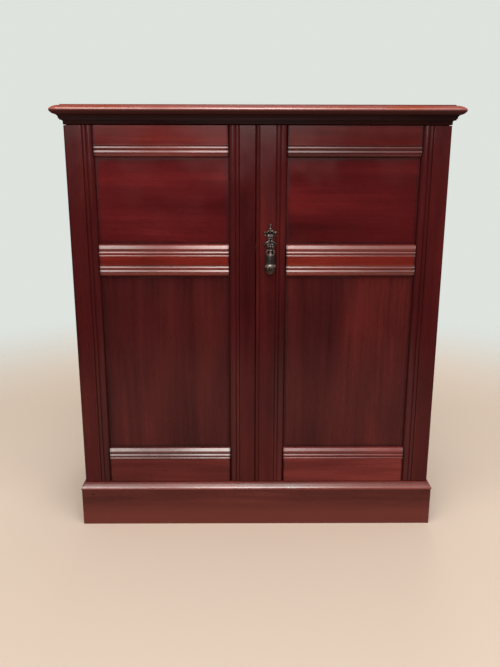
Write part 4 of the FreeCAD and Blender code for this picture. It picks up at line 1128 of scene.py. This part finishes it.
def make_floor():
    """A plain floor that fades into the backdrop far from the cupboard."""
    mesh = bpy.data.meshes.new("studio_floor")
    corners = [(x * FLOOR_HALF, y * FLOOR_HALF, 0.0) for x, y in SQUARE]
    mesh.from_pydata(corners, [], [(0, 1, 2, 3)])
    floor = bpy.data.objects.new("studio_floor", mesh)
    bpy.context.scene.collection.objects.link(floor)
    material = bpy.data.materials.new("studio_floor")
    material.use_nodes = True
    graph = Graph(material.node_tree)
    graph.tree.nodes.clear()
    place = graph.add("ShaderNodeTexCoord").outputs["Object"]
    away = graph.add("ShaderNodeVectorMath", {0: place}, operation="LENGTH").outputs["Value"]
    fade = graph.step(away, FLOOR_FADE_START, FLOOR_FADE_END)
    soft = graph.add("ShaderNodeBsdfDiffuse", {"Color": FLOOR}).outputs[0]
    clear = graph.add("ShaderNodeBsdfTransparent").outputs[0]
    mixed = graph.add("ShaderNodeMixShader", {0: fade, 1: soft, 2: clear}).outputs[0]
    graph.add("ShaderNodeOutputMaterial", {"Surface": mixed})
    dress(floor, material)


# Level of the bright strips that gloss mirrors, by slope to the side of the ray
STRIP_SPAN = 0.5
STRIP_LEVELS = (
    (-0.36, 0.10), (-0.25, 0.62), (-0.18, 0.70), (-0.14, 0.20), (-0.105, 0.20), (-0.06, 0.95), (0.0, 1.0),
    (0.07, 0.90), (0.13, 0.34), (0.20, 0.16), (0.34, 0.12),
)
STRIP_RADIANCE = 14.5
DIFFUSE_LEVEL = 0.54
DIM_ROOM = 0.10
SKYLINE_STEP = (0.015, 0.09)
IN_FRONT_STEP = (0.25, -0.05)


def make_world():
    """Pale backdrop for the camera, bright strips above the skyline for gloss, and even light."""
    world = bpy.data.worlds.new("studio")
    bpy.context.scene.world = world
    world.use_nodes = True
    graph = Graph(world.node_tree)
    graph.tree.nodes.clear()
    path = graph.add("ShaderNodeLightPath").outputs
    direction = graph.add("ShaderNodeTexCoord").outputs["Generated"]
    aside, along, above = graph.axes(direction)[:3]
    squares = graph.maths("ADD", graph.product(along, along), graph.product(above, above))
    slope = graph.maths("DIVIDE", aside, graph.maths("SQRT", squares))
    share = graph.step_straight(slope, -STRIP_SPAN, STRIP_SPAN)
    strips = graph.ramp(share, [((at / STRIP_SPAN + 1) / 2, grey(level)) for at, level in STRIP_LEVELS])
    risen = graph.step(above, *SKYLINE_STEP)
    in_front = graph.step(along, *IN_FRONT_STEP)
    bright = graph.product(risen, in_front, STRIP_RADIANCE)
    gloss_level = graph.maths("ADD", graph.product(strips, bright), DIM_ROOM)
    gloss = graph.add("ShaderNodeBackground", {"Color": BACKDROP, "Strength": gloss_level}).outputs[0]
    seen = graph.maths("ADD", path["Is Camera Ray"], path["Is Transmission Ray"])
    plain_level = graph.step_straight(seen, 0.0, 1.0, DIFFUSE_LEVEL, 1.0)
    plain = graph.add("ShaderNodeBackground", {"Color": BACKDROP, "Strength": plain_level}).outputs[0]
    chosen = graph.add("ShaderNodeMixShader", {0: path["Is Glossy Ray"], 1: plain, 2: gloss}).outputs[0]
    graph.add("ShaderNodeOutputWorld", {"Surface": chosen})


def softbox(name, place, aim, width, height, radiance):
    """A rectangular lamp that faces a point and is seen neither by the camera nor in gloss."""
    light = bpy.data.lights.new(name, "AREA")
    light.shape = "RECTANGLE"
    light.size = width
    light.size_y = height
    light.energy = radiance * math.pi * width * height
    lamp = bpy.data.objects.new(name, light)
    lamp.location = place
    lamp.rotation_euler = (Vector(aim) - Vector(place)).to_track_quat("-Z", "Y").to_euler()
    lamp.visible_camera = False
    lamp.visible_glossy = False
    bpy.context.scene.collection.objects.link(lamp)


LAMPS = (
    # name, place, point it faces, width, height, radiance
    ("overhead_lamp", (0.0, -1.3, 2.6), (0.0, -0.2, 0.4), 2.6, 1.6, 3.8),
    ("front_lamp", (0.0, -3.0, 1.5), (0.0, -0.1, 0.5), 2.0, 1.4, 3.1),
    ("back_lamp", (0.3, 2.2, 1.8), (0.0, 0.1, 0.5), 1.6, 1.2, 3.8),
)
CAMERA_PLACE = (-0.0265, -1.5718, 0.8036)
CAMERA_PITCH = 14.517
CAMERA_YAW = -0.459
CAMERA_ROLL = 0.098
PHOTO_HEIGHT = 667
FOCAL_PIXELS = 677.0
SENSOR = 36.0
CAMERA_NEAR = 0.05
LEVEL_TILT = 90.0


def make_camera():
    data = bpy.data.cameras.new("camera")
    data.sensor_width = SENSOR
    data.lens = FOCAL_PIXELS / PHOTO_HEIGHT * SENSOR
    data.clip_start = CAMERA_NEAR
    camera = bpy.data.objects.new("camera", data)
    camera.location = CAMERA_PLACE
    turn = Euler((math.radians(LEVEL_TILT - CAMERA_PITCH), 0.0, math.radians(CAMERA_YAW))).to_matrix()
    roll = Euler((0.0, 0.0, math.radians(CAMERA_ROLL))).to_matrix()
    camera.rotation_euler = (turn @ roll).to_euler()
    bpy.context.scene.collection.objects.link(camera)
    bpy.context.scene.camera = camera


dress_doors()
dress_case()
dress_deal()
metals = dress_metals()
make_handle(metals["handle_bronze"])
make_screws(metals["screw_steel"])
make_floor()
make_world()
for lamp in LAMPS:
    softbox(*lamp)
make_camera()
bpy.context.scene.view_settings.view_transform = "Standard"

bpy.context.view_layer.update()
